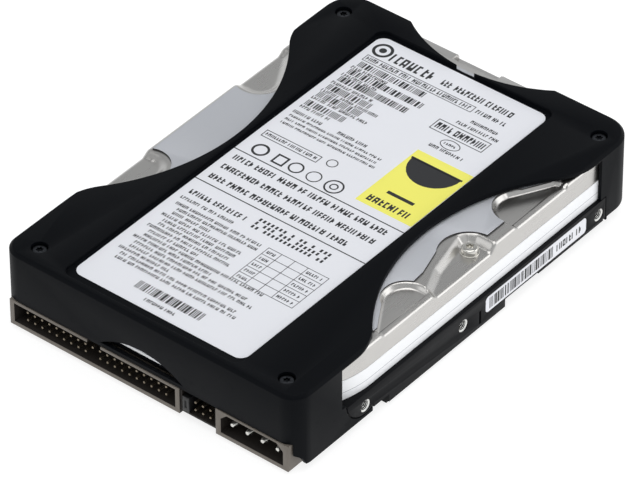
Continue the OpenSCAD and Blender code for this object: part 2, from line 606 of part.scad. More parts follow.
module resistors() color([0.1, 0.1, 0.11]) translate([0, chips_y, 0]) {
  z = board_z+board_t;
  for (i = [0:5]) box(6+i*3, 7.6+i*3, -53, -52.2, z, z+0.5);
  for (i = [0:4]) box(34, 35.6, 8+i*3, 8.8+i*3, z, z+0.5);
  for (i = [0:3]) box(-22+i*3, -20.4+i*3, -20, -19.2, z, z+0.5);
}

// ---- spindle ----
module spindle_base() color([0.6, 0.6, 0.61]) difference() {
  union() {
    rod(0, spindle_y, deck_b-1.6, deck_b, 21.5);
    rod(0, spindle_y, deck_b-0.1, 11.6, 8);
  }
  rod(0, spindle_y, 7.8, 13, 6.7);
  rod(0, spindle_y, 0, 13, sr);
}
module tooth(i, r0, r1, w, z0, z1) {
  translate([0, spindle_y, 0]) rotate([0, 0, i*40]) box(r0, r1, -w/2, w/2, z0, z1);
}
module stator_core() color([0.5, 0.5, 0.52]) union() {
  ring(0, spindle_y, 9.4, 11.4, 8, 9.7);
  for (i = [0:8]) tooth(i, 9.2, 13.5, 2.2, 9.5, 11.3);
  for (i = [0:8]) tooth(i, 13.3, 14.2, 6.0, 9.4, 11.4);
}
module stator_coils() color([0.72, 0.42, 0.2]) difference() {
  for (i = [0:8]) tooth(i, 10.1, 13.1, 4.4, 8.8, 12.0);
  for (i = [0:8]) tooth(i, 9, 14, 2.2, 9.5, 11.3);
}
module spindle_shaft() color([0.75, 0.75, 0.76]) rod(0, spindle_y, deck_b-1.6, hub_top+1, sr);
module spindle_bearings() color([0.6, 0.6, 0.62]) {
  ring(0, spindle_y, 8.2, 11.2, sr+run_gap, 5);
  ring(0, spindle_y, 14.2, 17.2, sr+run_gap, 5);
}
module spindle_hub() color([0.72, 0.73, 0.74]) difference() {
  union() {
    rod(0, spindle_y, 8.2, 12.4, 6.3);
    rod(0, spindle_y, 12.3, disc_z, 17.5);
    rod(0, spindle_y, disc_z-0.1, hub_top, disc_bore/2-0.05);
  }
  rod(0, spindle_y, 8, hub_top+1, 5);
  for (i = [0:5]) translate([0, spindle_y, 0]) rotate([0, 0, i*60]) rod(9, 0, hub_top-2.6, hub_top+1, 0.9);
}
module rotor_yoke() color([0.55, 0.55, 0.56]) ring(0, spindle_y, 8.3, 12.3, 16.3, 17.5);
module rotor_magnet() color([0.25, 0.24, 0.24]) ring(0, spindle_y, 8.5, 12.1, 15.1, 16.3);
module disc_platter() color([0.82, 0.83, 0.85]) ring(0, spindle_y, disc_z, disc_top, disc_bore/2, disc_d/2);
module disc_spacer() color([0.75, 0.75, 0.76]) ring(0, spindle_y, disc_top, hub_top, disc_bore/2, 15.5);
module disc_clamp() color([0.7, 0.7, 0.71]) difference() {
  union() {
    rod(0, spindle_y, hub_top, hub_top+0.9, 15.8);
    ring(0, spindle_y, hub_top+0.8, hub_top+1.3, 12.6, 14.2);
  }
  rod(0, spindle_y, hub_top-1, hub_top+2, 3.6);
  for (i = [0:5]) translate([0, spindle_y, 0]) rotate([0, 0, i*60]) rod(9, 0, hub_top-1, hub_top+2, 1);
  for (i = [0:5]) translate([0, spindle_y, 0]) rotate([0, 0, i*60+30]) rod(9, 0, hub_top-1, hub_top+2, 1.3);
}
module clamp_screws() color([0.6, 0.6, 0.6]) translate([0, spindle_y, 0])
  for (i = [0:5]) rotate([0, 0, i*60]) screw_pan(9, 0, hub_top+0.9, 1.7, 1.0, 0.9, 3.2);

// ---- actuator ----
module pivot_shaft() color([0.75, 0.75, 0.76]) union() {
  rod(pivot_x, pivot_y, deck_z, 20.8, pr);
  rod(pivot_x, pivot_y, deck_z, deck_z+0.7, 4.6);
}
module pivot_bearings() color([0.6, 0.6, 0.62]) {
  ring(pivot_x, pivot_y, 10, 12.4, pr+run_gap, 5.5);
  ring(pivot_x, pivot_y, 16.8, 19.2, pr+run_gap, 5.5);
}
module pivot_sleeve() color([0.7, 0.7, 0.71]) difference() {
  rod(pivot_x, pivot_y, 9.7, 19.5, 8);
  rod(pivot_x, pivot_y, 9, 20, 5);
  rod(pivot_x, pivot_y, 9, 12.4, 5.5);
  rod(pivot_x, pivot_y, 16.8, 20, 5.5);
}
module arm_plate(z) {
  translate([0, 0, z]) linear_extrude(height = arm_t) difference() {
    union() {
      circle(r = 9.6);
      polygon([[3, -9], [17, -5.2], [33, -2.6], [35, -1.6], [35, 1.6], [33, 2.6], [17, 5.2], [3, 9]]);
    }
    circle(r = 8);
    polygon([[13.5, -2.6], [25, -1.2], [25, 1.2], [13.5, 2.6]]);
    translate([32.4, 0]) circle(r = 1);
  }
}
module actuator_arm() color([0.7, 0.71, 0.73]) on_arm() union() {
  ring(0, 0, 10.6, 18.6, 8, 9.6);
  arm_plate(arm_lo-arm_t);
  arm_plate(arm_up);
}
module suspensions() color([0.78, 0.78, 0.8]) on_arm() for (s = [-1, 1]) {
  zm = s > 0 ? arm_up : arm_lo;
  zh = s > 0 ? disc_top+0.62 : disc_z-0.62;
  slab(min(zm, zm-s*0.2), max(zm, zm-s*0.2)) polygon([[30.5, -2.2], [35.6, -1.8], [35.6, 1.8], [30.5, 2.2]]);
  translate([35.4, 0, zm-s*0.1]) rotate([0, atan((zm-s*0.1-zh)/(arm_l-35.4)), 0])
    linear_extrude(height = 0.12, center = true)
      polygon([[0, -1.8], [arm_l-34.2, -0.7], [arm_l-34.2, 0.7], [0, 1.8]]);
}
module head_sliders() color([0.25, 0.25, 0.27]) on_arm() {
  box(arm_l-1.1, arm_l+1.0, -0.8, 0.8, disc_top+0.06, disc_top+0.5);
  box(arm_l-1.1, arm_l+1.0, -0.8, 0.8, disc_z-0.5, disc_z-0.06);
}
module voice_coil() color([0.75, 0.42, 0.2]) difference() {
  sector(14.6, coil_r, park_angle+180-coil_half, park_angle+180+coil_half, 14.3, 15.9);
  sector(14.6+coil_band, coil_r-coil_band, park_angle+188-coil_half, park_angle+172+coil_half, 14, 16.2);
}
module coil_frame() color([0.3, 0.28, 0.25]) union() {
  difference() {
    sector(9.7, 14.5, park_angle+180-coil_half-1.5, park_angle+180+coil_half+1.5, 14.1, 16.1);
    rod(pivot_x, pivot_y, 10, 20, 9.7);
  }
  sector(14.4, coil_r, park_angle+180-coil_half-1.9, park_angle+180-coil_half-0.1, 14.1, 16.1);
  sector(14.4, coil_r, park_angle+180+coil_half+0.1, park_angle+180+coil_half+1.9, 14.1, 16.1);
}
module preamp_chip() color([0.08, 0.08, 0.09]) on_arm() box(-4, 1.6, 9.65, 10.6, 12.6, 16.4);
// ribbon from the arm to the deck
module flex_cable() color([0.75, 0.5, 0.2]) difference() {
  union() {
    sector(cable_r, cable_r+cable_t, cable_a[0], cable_a[1], cable_z[0], cable_z[1]);
    translate([pivot_x, pivot_y, cable_z[0]]) rotate([0, 0, cable_a[0]])
      cube([cable_r+0.1, cable_t, cable_z[1]-cable_z[0]]);
  }
  rod(pivot_x, pivot_y, cable_z[0]-1, cable_z[1]+1, 9.65);
}
module flex_bracket() color([0.2, 0.2, 0.21]) difference() {
  union() {
    box(pivot_x-18, pivot_x-11.4, pivot_y-9, pivot_y-5.1, deck_z, 10.4);
    box(pivot_x-16, pivot_x-11.7, pivot_y-8.2, pivot_y-5.1, deck_z, 16.8);
    box(pivot_x-16.4, pivot_x-12.2, pivot_y-7.4, pivot_y-4.6, deck_b-2.2, deck_z);
  }
  ring(pivot_x, pivot_y, cable_z[0]-0.1, 16.9, cable_r-0.05, cable_r+cable_t+0.05);
}
// ---- voice coil motor ----
module yoke(z0, z1) difference() {
  union() {
    sector(magnet_r0, yoke_r, end_side-1.7, park_side+0.5, z0, z1);
    for (p = post_at) translate([pivot_x, pivot_y, 0]) rotate([0, 0, p[1]]) rod(p[0], 0, z0, z1, ear_r);
  }
  for (p = stop_at) translate([pivot_x, pivot_y, 0]) rotate([0, 0, p[1]]) rod(p[0], 0, 0, 30, stop_r+0.3);
  for (p = post_at) translate([pivot_x, pivot_y, 0]) rotate([0, 0, p[1]]) rod(p[0], 0, 0, 30, 1.0);
}
module motor_lower_yoke() color([0.62, 0.62, 0.63]) yoke(deck_z, deck_z+2);
module motor_upper_yoke() color([0.62, 0.62, 0.63]) yoke(yoke_up-yoke_t, yoke_up);
module motor_magnets() color([0.5, 0.5, 0.52]) {
  mid = (end_side+park_side)/2;
  for (a = [mid-magnet_a-0.5, mid+0.5]) {
    sector(magnet_r0, coil_r, a, a+magnet_a, deck_z+2, 13.2);
    sector(magnet_r0, coil_r, a, a+magnet_a, 17.1, yoke_up-yoke_t);
  }
}
module yoke_posts() color([0.7, 0.7, 0.7])
  for (p = post_at) translate([pivot_x, pivot_y, 0]) rotate([0, 0, p[1]]) {
    rod(p[0], 0, deck_z, yoke_up, 1.0);
    rod(p[0], 0, deck_z+2, yoke_up-yoke_t, pillar_r);
    rod(p[0], 0, yoke_up, yoke_up+0.7, 1.6);
  }
module crash_stops() color([0.12, 0.12, 0.12])
  for (p = stop_at) translate([pivot_x, pivot_y, 0]) rotate([0, 0, p[1]]) rod(p[0], 0, deck_z, 18, stop_r);
module actuator_latch() color([0.85, 0.84, 0.8]) difference() {
  union() {
    rod(latch_x, latch_y, 12, 16, 2.3);
    box(latch_x, latch_x+8, latch_y-0.8, latch_y+0.8, 13, 15.4);
    box(latch_x-0.7, latch_x+0.7, latch_y, latch_y+11, 13, 15.8);
    rod(latch_x+8, latch_y, 13, 15.4, 1.4);
  }
  rod(latch_x, latch_y, 10, 18, 1+run_gap);
}
module latch_pin() color([0.7, 0.7, 0.7]) union() {
  rod(latch_x, latch_y, deck_z, 17, 1);
  rod(latch_x, latch_y, deck_z, 11.7, 2.2);
}
module recirculation_filter() color([0.9, 0.9, 0.88]) union() {
  rrect(-44, -35, -34, -24, 1.5, deck_z, 18);
  rrect(-45, -34, -35, -23, 2, deck_z, deck_z+1.2);
}
module breather_filter() color([0.85, 0.85, 0.82]) union() {
  rrect(-30, -13, -51, -39, 3, deck_z, 11.4);
  rod(-21.5, -45, 11.3, 12, 3.2);
}

base_casting();
top_cover();
cover_gasket();
cover_damper();
cover_screws();
port_screw();
port_nut();
seam_tape();
shock_jacket();
jacket_screws();
main_label();
side_label();
connector_housing();
data_pins();
jumper_pins();
power_pins();
jumper_cap();
jumper_contact();
circuit_board();
board_insulator();
board_shield();
board_screws();
controller_chip();
buffer_chip();
motor_driver_chip();
clock_crystal();
capacitors();
resistors();
spindle_base();
stator_core();
stator_coils();
spindle_shaft();
spindle_bearings();
spindle_hub();
rotor_yoke();
rotor_magnet();
disc_platter();
disc_spacer();
disc_clamp();
clamp_screws();
pivot_shaft();
pivot_bearings();
pivot_sleeve();
actuator_arm();
voice_coil();
coil_frame();
suspensions();
head_sliders();
preamp_chip();
flex_cable();
flex_bracket();
motor_lower_yoke();
motor_upper_yoke();
motor_magnets();
yoke_posts();
crash_stops();
actuator_latch();
latch_pin();
recirculation_filter();
breather_filter();
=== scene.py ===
"""A 3.5-inch hard disk drive in its rubber shock jacket, finished for looking at.

The pieces follow the order in which the drive is put together. Sizes are metres in the frame of the
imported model: +Z up, +Y to the rear, the connectors at -Y, and the narrow label on the +X side.
"""
import json
import math
import random

import bpy
from mathutils import Matrix, Vector

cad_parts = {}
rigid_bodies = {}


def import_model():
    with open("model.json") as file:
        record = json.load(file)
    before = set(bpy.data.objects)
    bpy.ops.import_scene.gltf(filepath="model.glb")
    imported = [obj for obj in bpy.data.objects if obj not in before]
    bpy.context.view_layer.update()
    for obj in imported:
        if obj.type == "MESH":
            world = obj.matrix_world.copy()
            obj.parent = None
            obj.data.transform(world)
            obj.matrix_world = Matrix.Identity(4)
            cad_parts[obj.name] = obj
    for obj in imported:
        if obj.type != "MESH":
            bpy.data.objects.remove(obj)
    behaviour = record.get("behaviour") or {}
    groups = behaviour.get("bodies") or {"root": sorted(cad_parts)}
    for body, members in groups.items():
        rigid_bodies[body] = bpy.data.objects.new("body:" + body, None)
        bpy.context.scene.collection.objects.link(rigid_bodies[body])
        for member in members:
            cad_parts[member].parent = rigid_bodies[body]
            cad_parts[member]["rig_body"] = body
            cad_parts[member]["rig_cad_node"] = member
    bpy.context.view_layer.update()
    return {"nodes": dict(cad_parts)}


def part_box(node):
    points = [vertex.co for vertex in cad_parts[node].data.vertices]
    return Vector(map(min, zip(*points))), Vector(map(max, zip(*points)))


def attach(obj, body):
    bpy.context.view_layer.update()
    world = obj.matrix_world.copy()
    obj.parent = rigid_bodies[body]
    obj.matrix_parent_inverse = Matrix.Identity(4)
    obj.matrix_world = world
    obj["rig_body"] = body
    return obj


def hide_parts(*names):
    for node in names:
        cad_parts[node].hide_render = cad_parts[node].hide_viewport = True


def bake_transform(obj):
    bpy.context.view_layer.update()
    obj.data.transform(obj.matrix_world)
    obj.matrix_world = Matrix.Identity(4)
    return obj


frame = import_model()
MM = 0.001
NODE = frame["nodes"]
random.seed(7)

# ---- Camera ----
# A long lens looks down over the front right corner of the drive, far enough away to flatten it.
azimuth, elevation, roll = math.radians(39.15), math.radians(39.28), math.radians(-0.21)
aim = Vector((3.17, -5.90, 13.0)) * MM
back = Vector((math.sin(azimuth) * math.cos(elevation), -math.cos(azimuth) * math.cos(elevation),
               math.sin(elevation)))
camera_data = bpy.data.cameras.new("camera")
camera_data.sensor_width = 36.0
camera_data.lens = 326.3
camera_data.shift_x = -0.0048
camera_data.clip_start = 0.05
camera_data.clip_end = 20.0
camera = bpy.data.objects.new("camera", camera_data)
facing = back.to_track_quat("Z", "Y").to_matrix().to_4x4()
camera.matrix_world = Matrix.Translation(aim + back * 1.5356) @ facing @ Matrix.Rotation(roll, 4, "Z")
bpy.context.scene.collection.objects.link(camera)
bpy.context.scene.camera = camera


# ---- Base casting ----
# The die-cast aluminium base carries everything: deck, side walls, mounting rails and corner posts.
# It is e-coated black with a fine orange peel, and its tapped side holes are cut through to bare metal.
def deselect():
    if bpy.context.object and bpy.context.object.mode != "OBJECT":
        bpy.ops.object.mode_set(mode="OBJECT")
    bpy.ops.object.select_all(action="DESELECT")


def hold(piece):
    deselect()
    piece.select_set(True)
    bpy.context.view_layer.objects.active = piece
    return piece


def named(name):
    piece = bpy.context.object
    piece.name = piece.data.name = name
    bpy.ops.object.transform_apply(location=True, rotation=True, scale=True)
    return piece


def block(name, low, high):
    deselect()
    middle = [(a + b) / 2 * MM for a, b in zip(low, high)]
    bpy.ops.mesh.primitive_cube_add(size=1, location=middle)
    bpy.context.object.scale = [(b - a) * MM for a, b in zip(low, high)]
    return named(name)


def rod(name, x, y, z0, z1, r, sides=64):
    deselect()
    bpy.ops.mesh.primitive_cylinder_add(vertices=sides, radius=r * MM, depth=(z1 - z0) * MM,
                                        location=(x * MM, y * MM, (z0 + z1) / 2 * MM))
    return named(name)


def pick(piece, kind, test):
    """Selects the vertices, edges or faces whose corners, in mm, all pass the test."""
    hold(piece)
    mesh = piece.data
    place = [tuple(c / MM for c in v.co) for v in mesh.vertices]
    for group in (mesh.vertices, mesh.edges, mesh.polygons):
        group.foreach_set("select", [False] * len(group))
    found = 0
    for item in (mesh.edges if kind == "edge" else mesh.polygons):
        if test([place[i] for i in item.vertices]):
            item.select = True
            found += 1
            for i in item.vertices:
                mesh.vertices[i].select = kind != "face"
    bpy.ops.object.mode_set(mode="EDIT")
    bpy.ops.mesh.select_mode(type="EDGE" if kind == "edge" else "FACE")
    bpy.ops.object.mode_set(mode="OBJECT")
    return found


def round_off(piece, test, width, segments):
    """Bevels the picked edges to a round of the given width, in mm."""
    if pick(piece, "edge", test):
        bpy.ops.object.mode_set(mode="EDIT")
        bpy.ops.mesh.bevel(offset=width * MM, segments=segments, affect="EDGES", clamp_overlap=True)
        bpy.ops.object.mode_set(mode="OBJECT")
    return piece


def level_at(z):
    return lambda corners: all(abs(c[2] - z) < 0.02 for c in corners)


def combine(piece, tools, how):
    for tool in tools:
        hold(piece)
        modifier = piece.modifiers.new("join", "BOOLEAN")
        modifier.object, modifier.operation, modifier.solver = tool, how, "EXACT"
        bpy.ops.object.modifier_apply(modifier=modifier.name)
        bpy.data.objects.remove(tool, do_unlink=True)
    return piece


def cut(piece, *tools):
    return combine(piece, tools, "DIFFERENCE")


def add(piece, *tools):
    return combine(piece, tools, "UNION")


def soften(piece, width, segments=2, angle=28):
    """Breaks every sharp edge of the piece, as a mould or a deburring tool does."""
    hold(piece)
    modifier = piece.modifiers.new("soften", "BEVEL")
    modifier.width, modifier.segments = width * MM, segments
    modifier.limit_method, modifier.angle_limit = "ANGLE", math.radians(angle)
    modifier.harden_normals = False
    bpy.ops.object.modifier_apply(modifier=modifier.name)
    bpy.ops.object.shade_smooth_by_angle(angle=math.radians(34))
    return piece


def tidy_copy(node, name):
    """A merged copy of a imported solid, ready for its edges to be broken."""
    hold(NODE[node])
    bpy.ops.object.duplicate()
    piece = bpy.context.object
    piece.parent = None
    piece.matrix_world = Matrix.Identity(4)
    piece.name = piece.data.name = name
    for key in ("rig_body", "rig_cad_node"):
        if key in piece:
            del piece[key]
    hold(piece)
    bpy.ops.object.mode_set(mode="EDIT")
    bpy.ops.mesh.select_all(action="SELECT")
    bpy.ops.mesh.remove_doubles(threshold=0.002 * MM)
    bpy.ops.mesh.dissolve_limited(angle_limit=math.radians(1.0))
    bpy.ops.object.mode_set(mode="OBJECT")
    return piece


def dress(piece, material):
    piece.data.materials.clear()
    piece.data.materials.append(material)
    return piece


def fit(piece, body, slot, material, *nodes):
    """Gives a piece its finish and its place in the mechanism, and hides the solids it stands for."""
    dress(piece, material)
    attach(piece, body)
    if nodes:
        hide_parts(*nodes)
    return piece


def soft_copy(node, name, body, slot, material, width, segments=2):
    return fit(soften(tidy_copy(node, name), width, segments), body, slot, material, node)


def paint(code):
    """Linear colour of a hex code."""
    parts = [int(code[i:i + 2], 16) / 255 for i in (1, 3, 5)]
    return tuple(p / 12.92 if p <= 0.04045 else ((p + 0.055) / 1.055) ** 2.4 for p in parts) + (1.0,)


def new_group(name, inputs, outputs):
    group = bpy.data.node_groups.new(name, "ShaderNodeTree")
    for label, kind, value in inputs:
        socket = group.interface.new_socket(label, in_out="INPUT", socket_type="NodeSocket" + kind)
        if value is not None:
            socket.default_value = value
    for label, kind in outputs:
        group.interface.new_socket(label, in_out="OUTPUT", socket_type="NodeSocket" + kind)
    return group, group.nodes.new("NodeGroupInput"), group.nodes.new("NodeGroupOutput")


def node_in(tree, kind, settings=(), **sockets):
    node = tree.nodes.new("ShaderNode" + kind)
    for key, value in dict(settings).items():
        setattr(node, key, value)
    for key, value in sockets.items():
        target = node.inputs[int(key[1:])] if key[0] == "i" and key[1:].isdigit() else node.inputs[key]
        if isinstance(value, bpy.types.NodeSocket):
            tree.links.new(value, target)
        else:
            target.default_value = value
    return node


def worked_surface():
    """Grain, long streaks and slow drift that handling and making leave on a surface."""
    group, given, result = new_group(
        "worked_surface",
        [("Vector", "Vector", None), ("Color", "Color", (0.5, 0.5, 0.5, 1)), ("Roughness", "Float", 0.5),
         ("Grain Scale", "Float", 2500.0), ("Grain", "Float", 0.5), ("Streak", "Float", 0.0),
         ("Streak Way", "Vector", (40.0, 2600.0, 2600.0)), ("Drift", "Float", 0.08), ("Wear", "Float", 0.1)],
        [("Color", "Color"), ("Roughness", "Float"), ("Height", "Float")])
    take = given.outputs
    slow = node_in(group, "TexNoise", Vector=take["Vector"], Scale=55.0, Detail=3.0)
    fine = node_in(group, "TexNoise", Vector=take["Vector"], Scale=take["Grain Scale"], Detail=2.0)
    turned = node_in(group, "VectorMath", {"operation": "MULTIPLY"}, i0=take["Vector"], i1=take["Streak Way"])
    long_marks = node_in(group, "TexNoise", Vector=turned.outputs[0], Scale=1.0, Detail=3.0)
    rubbed = node_in(group, "TexNoise", Vector=take["Vector"], Scale=260.0, Detail=5.0, Roughness=0.7)
    rub_mask = node_in(group, "MapRange", i0=rubbed.outputs[0], i1=0.58, i2=0.75, i3=0.0, i4=1.0)
    centred = node_in(group, "Math", {"operation": "SUBTRACT"}, i0=slow.outputs[0], i1=0.5)
    drift = node_in(group, "Math", {"operation": "MULTIPLY"}, i0=centred.outputs[0], i1=take["Drift"])
    streak_mid = node_in(group, "Math", {"operation": "SUBTRACT"}, i0=long_marks.outputs[0], i1=0.5)
    streak = node_in(group, "Math", {"operation": "MULTIPLY"}, i0=streak_mid.outputs[0], i1=take["Streak"])
    both = node_in(group, "Math", {"operation": "ADD"}, i0=drift.outputs[0], i1=streak.outputs[0])
    gain = node_in(group, "Math", {"operation": "MULTIPLY_ADD"}, i0=both.outputs[0], i1=2.0, i2=1.0)
    shade = node_in(group, "VectorMath", {"operation": "SCALE"}, i0=take["Color"], Scale=gain.outputs[0])
    rub = node_in(group, "Math", {"operation": "MULTIPLY"}, i0=rub_mask.outputs[0], i1=take["Wear"])
    rough_a = node_in(group, "Math", {"operation": "MULTIPLY_ADD"}, i0=both.outputs[0], i1=1.2,
                      i2=take["Roughness"])
    rough_b = node_in(group, "Math", {"operation": "ADD", "use_clamp": True}, i0=rough_a.outputs[0],
                      i1=rub.outputs[0])
    grain = node_in(group, "Math", {"operation": "MULTIPLY"}, i0=fine.outputs[0], i1=take["Grain"])
    height = node_in(group, "Math", {"operation": "MULTIPLY_ADD"}, i0=long_marks.outputs[0],
                     i1=take["Streak"], i2=grain.outputs[0])
    group.links.new(shade.outputs[0], result.inputs["Color"])
    group.links.new(rough_b.outputs[0], result.inputs["Roughness"])
    group.links.new(height.outputs[0], result.inputs["Height"])
    return group


WORKED = worked_surface()


def surface(name, code, rough, metal=0.0, grain=0.5, grain_scale=2500.0, streak=0.0,
            way=(40.0, 2600.0, 2600.0), drift=0.08, wear=0.1, depth=0.03, specular=0.5, coat=0.0):
    """A material of one base colour whose grain, streaks and wear follow the object's own place."""
    material = bpy.data.materials.new(name)
    material.use_nodes = True
    tree = material.node_tree
    shader = tree.nodes["Principled BSDF"]
    place = node_in(tree, "TexCoord")
    worked = node_in(tree, "Group", {"node_tree": WORKED})
    for key, value in {"Color": paint(code), "Roughness": rough, "Grain Scale": grain_scale, "Grain": grain,
                       "Streak": streak, "Streak Way": way, "Drift": drift, "Wear": wear}.items():
        worked.inputs[key].default_value = value
    tree.links.new(place.outputs["Object"], worked.inputs["Vector"])
    bump = node_in(tree, "Bump", Strength=0.5, Distance=depth * MM, Height=worked.outputs["Height"])
    tree.links.new(worked.outputs["Color"], shader.inputs["Base Color"])
    tree.links.new(worked.outputs["Roughness"], shader.inputs["Roughness"])
    tree.links.new(bump.outputs["Normal"], shader.inputs["Normal"])
    shader.inputs["Metallic"].default_value = metal
    shader.inputs["Specular IOR Level"].default_value = specular
    shader.inputs["Coat Weight"].default_value = coat
    return material


ecoat = surface("black_ecoat", "#0b0c0f", 0.5, grain=1.0, grain_scale=1900.0, drift=0.12, depth=0.04,
                specular=0.09)
HALF_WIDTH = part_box("base_casting")[1].x / MM
soft_copy("base_casting", "base_casting_finished", "case", "cast_black", ecoat, 0.22)

bare_metal = surface("bare_aluminium", "#d9d9d6", 0.24, metal=1.0, grain=0.3, streak=0.1, depth=0.02)
SIDE_HOLE_Y = (-45.0, -3.4, 56.6)
SIDE_HOLE_Z = 6.35
TAP_R = 1.35
rims = None
for side in (-1, 1):
    for hole_y in SIDE_HOLE_Y:
        deselect()
        bpy.ops.mesh.primitive_cone_add(vertices=48, radius1=TAP_R * MM, radius2=(TAP_R + 0.75) * MM,
                                        depth=0.42 * MM, end_fill_type="NOTHING")
        rim = bpy.context.object
        rim.rotation_euler = (0, side * math.pi / 2, 0)
        rim.location = (side * (HALF_WIDTH - 0.24) * MM, hole_y * MM, SIDE_HOLE_Z * MM)
        named("tapped_hole_rim")
        bpy.ops.object.mode_set(mode="EDIT")
        bpy.ops.mesh.select_all(action="SELECT")
        bpy.ops.mesh.flip_normals()
        bpy.ops.object.mode_set(mode="OBJECT")
        for turn in range(6):
            bpy.ops.mesh.primitive_torus_add(major_segments=40, minor_segments=6,
                                             major_radius=TAP_R * MM, minor_radius=0.14 * MM)
            thread = bpy.context.object
            thread.rotation_euler = (0, math.pi / 2 + 0.04, 0)
            thread.location = (side * (HALF_WIDTH - 0.62 - 0.5 * turn) * MM, hole_y * MM, SIDE_HOLE_Z * MM)
            named("thread_turn")
            rim.select_set(True)
            bpy.context.view_layer.objects.active = rim
            bpy.ops.object.join()
        if rims:
            rims.select_set(True)
            bpy.context.view_layer.objects.active = rims
            bpy.ops.object.join()
        rims = bpy.context.object
rims.name = "tapped_hole_rims"
hold(rims)
bpy.ops.object.shade_smooth_by_angle(angle=math.radians(50))
fit(rims, "case", "cast_black", bare_metal)


# ---- Spindle motor ----
# A turned base holds a laminated stator with nine copper windings, and the hub, its steel yoke and
# its ring magnet turn round it on two ball bearings.
def finish(material, *nodes):
    """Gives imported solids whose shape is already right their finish."""
    for node in nodes:
        dress(NODE[node], material)


turned_aluminium = surface("turned_aluminium", "#b9bcc0", 0.26, metal=1.0, streak=0.05, depth=0.01)
bearing_steel = surface("bearing_steel", "#c3c5c8", 0.16, metal=1.0, grain=0.2, depth=0.008)
laminations = surface("stator_laminations", "#6b6d70", 0.4, metal=1.0, grain=0.4, streak=0.4,
                      way=(60.0, 60.0, 9000.0), depth=0.03)
enamelled_wire = surface("enamelled_wire", "#b4622c", 0.3, metal=0.9, streak=0.7,
                         way=(300.0, 300.0, 5200.0), depth=0.08)
nickel_plate = surface("nickel_plate", "#a9a8a4", 0.22, metal=1.0, grain=0.3, depth=0.01)
sintered_magnet = surface("sintered_magnet", "#3b3a39", 0.55, metal=0.4, grain=0.9, depth=0.03)
finish(turned_aluminium, "spindle_base", "spindle_hub", "disc_spacer", "pivot_sleeve")
finish(bearing_steel, "spindle_shaft", "spindle_bearings", "pivot_shaft", "pivot_bearings", "latch_pin")
finish(laminations, "stator_core")
finish(enamelled_wire, "stator_coils", "voice_coil")
finish(nickel_plate, "rotor_yoke", "motor_lower_yoke", "motor_upper_yoke", "yoke_posts", "motor_magnets")
finish(sintered_magnet, "rotor_magnet")

# ---- Disc stack ----
# One aluminium disc with a polished magnetic film, held on the hub by a spacer, a spring-steel clamp
# and six small screws. The film carries grooves too fine to see one by one.
disc_film = surface("disc_film", "#c9ccd2", 0.07, metal=1.0, grain=0.1, drift=0.02, wear=0.02, depth=0.002)
spring_steel = surface("spring_steel", "#b2b3b5", 0.24, metal=1.0, grain=0.3, streak=0.1, depth=0.01)
finish(disc_film, "disc_platter")
soft_copy("disc_clamp", "disc_clamp_finished", "rotor", "machined_steel", spring_steel, 0.12)
finish(bearing_steel, "clamp_screws")

# ---- Actuator ----
# An aluminium arm comb swings on two bearings, with a moulded coil frame behind it and two etched
# steel suspensions that hold the ceramic sliders over the disc.
arm_aluminium = surface("arm_aluminium", "#a6a9ad", 0.34, metal=1.0, grain=0.6, depth=0.02)
coil_plastic = surface("coil_plastic", "#463c30", 0.45, grain=0.8, depth=0.03)
slider_ceramic = surface("slider_ceramic", "#2c2b2d", 0.3, grain=0.4, depth=0.01)
soft_copy("actuator_arm", "actuator_arm_finished", "actuator", "machined_aluminium", arm_aluminium, 0.15)
soft_copy("coil_frame", "coil_frame_finished", "actuator", "black_plastic", coil_plastic, 0.18)
finish(spring_steel, "suspensions")
finish(slider_ceramic, "head_sliders")

# ---- Ribbon cable ----
# A polyimide ribbon with copper tracks bends between the arm and its bracket as the arm swings.
# Its two ends are glued. The copy here is cut into small triangles and tied to neither body.
kapton = surface("kapton", "#a8641f", 0.3, grain=0.2, streak=0.5, way=(20.0, 20.0, 3400.0), depth=0.01,
                 coat=0.4)
ribbon = tidy_copy("flex_cable", "flex_cable_finished")
hold(ribbon)
bpy.ops.object.mode_set(mode="EDIT")
bpy.ops.mesh.select_all(action="SELECT")
bpy.ops.mesh.quads_convert_to_tris()
bpy.ops.mesh.subdivide(number_cuts=2)
bpy.ops.object.mode_set(mode="OBJECT")
dress(ribbon, kapton)
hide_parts("flex_cable")
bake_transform(ribbon)
moulded_black = surface("moulded_black", "#0c0c0e", 0.42, grain=0.7, depth=0.03)
finish(moulded_black, "flex_bracket", "preamp_chip", "crash_stops")

# ---- Latch and filters ----
# A small nylon lever holds the parked arm, a felt block cleans the turning air, and a carbon pouch
# covers the breather hole.
nylon = surface("nylon", "#d8d2c2", 0.45, grain=0.5, depth=0.02)
felt = surface("filter_felt", "#dcdbd4", 0.9, grain=2.0, grain_scale=3500.0, depth=0.08)
soft_copy("actuator_latch", "actuator_latch_finished", "latch", "nylon_cream", nylon, 0.15)
soft_copy("recirculation_filter", "recirculation_filter_finished", "case", "filter_cloth", felt, 0.3)
soft_copy("breather_filter", "breather_filter_finished", "case", "filter_cloth", felt, 0.3)

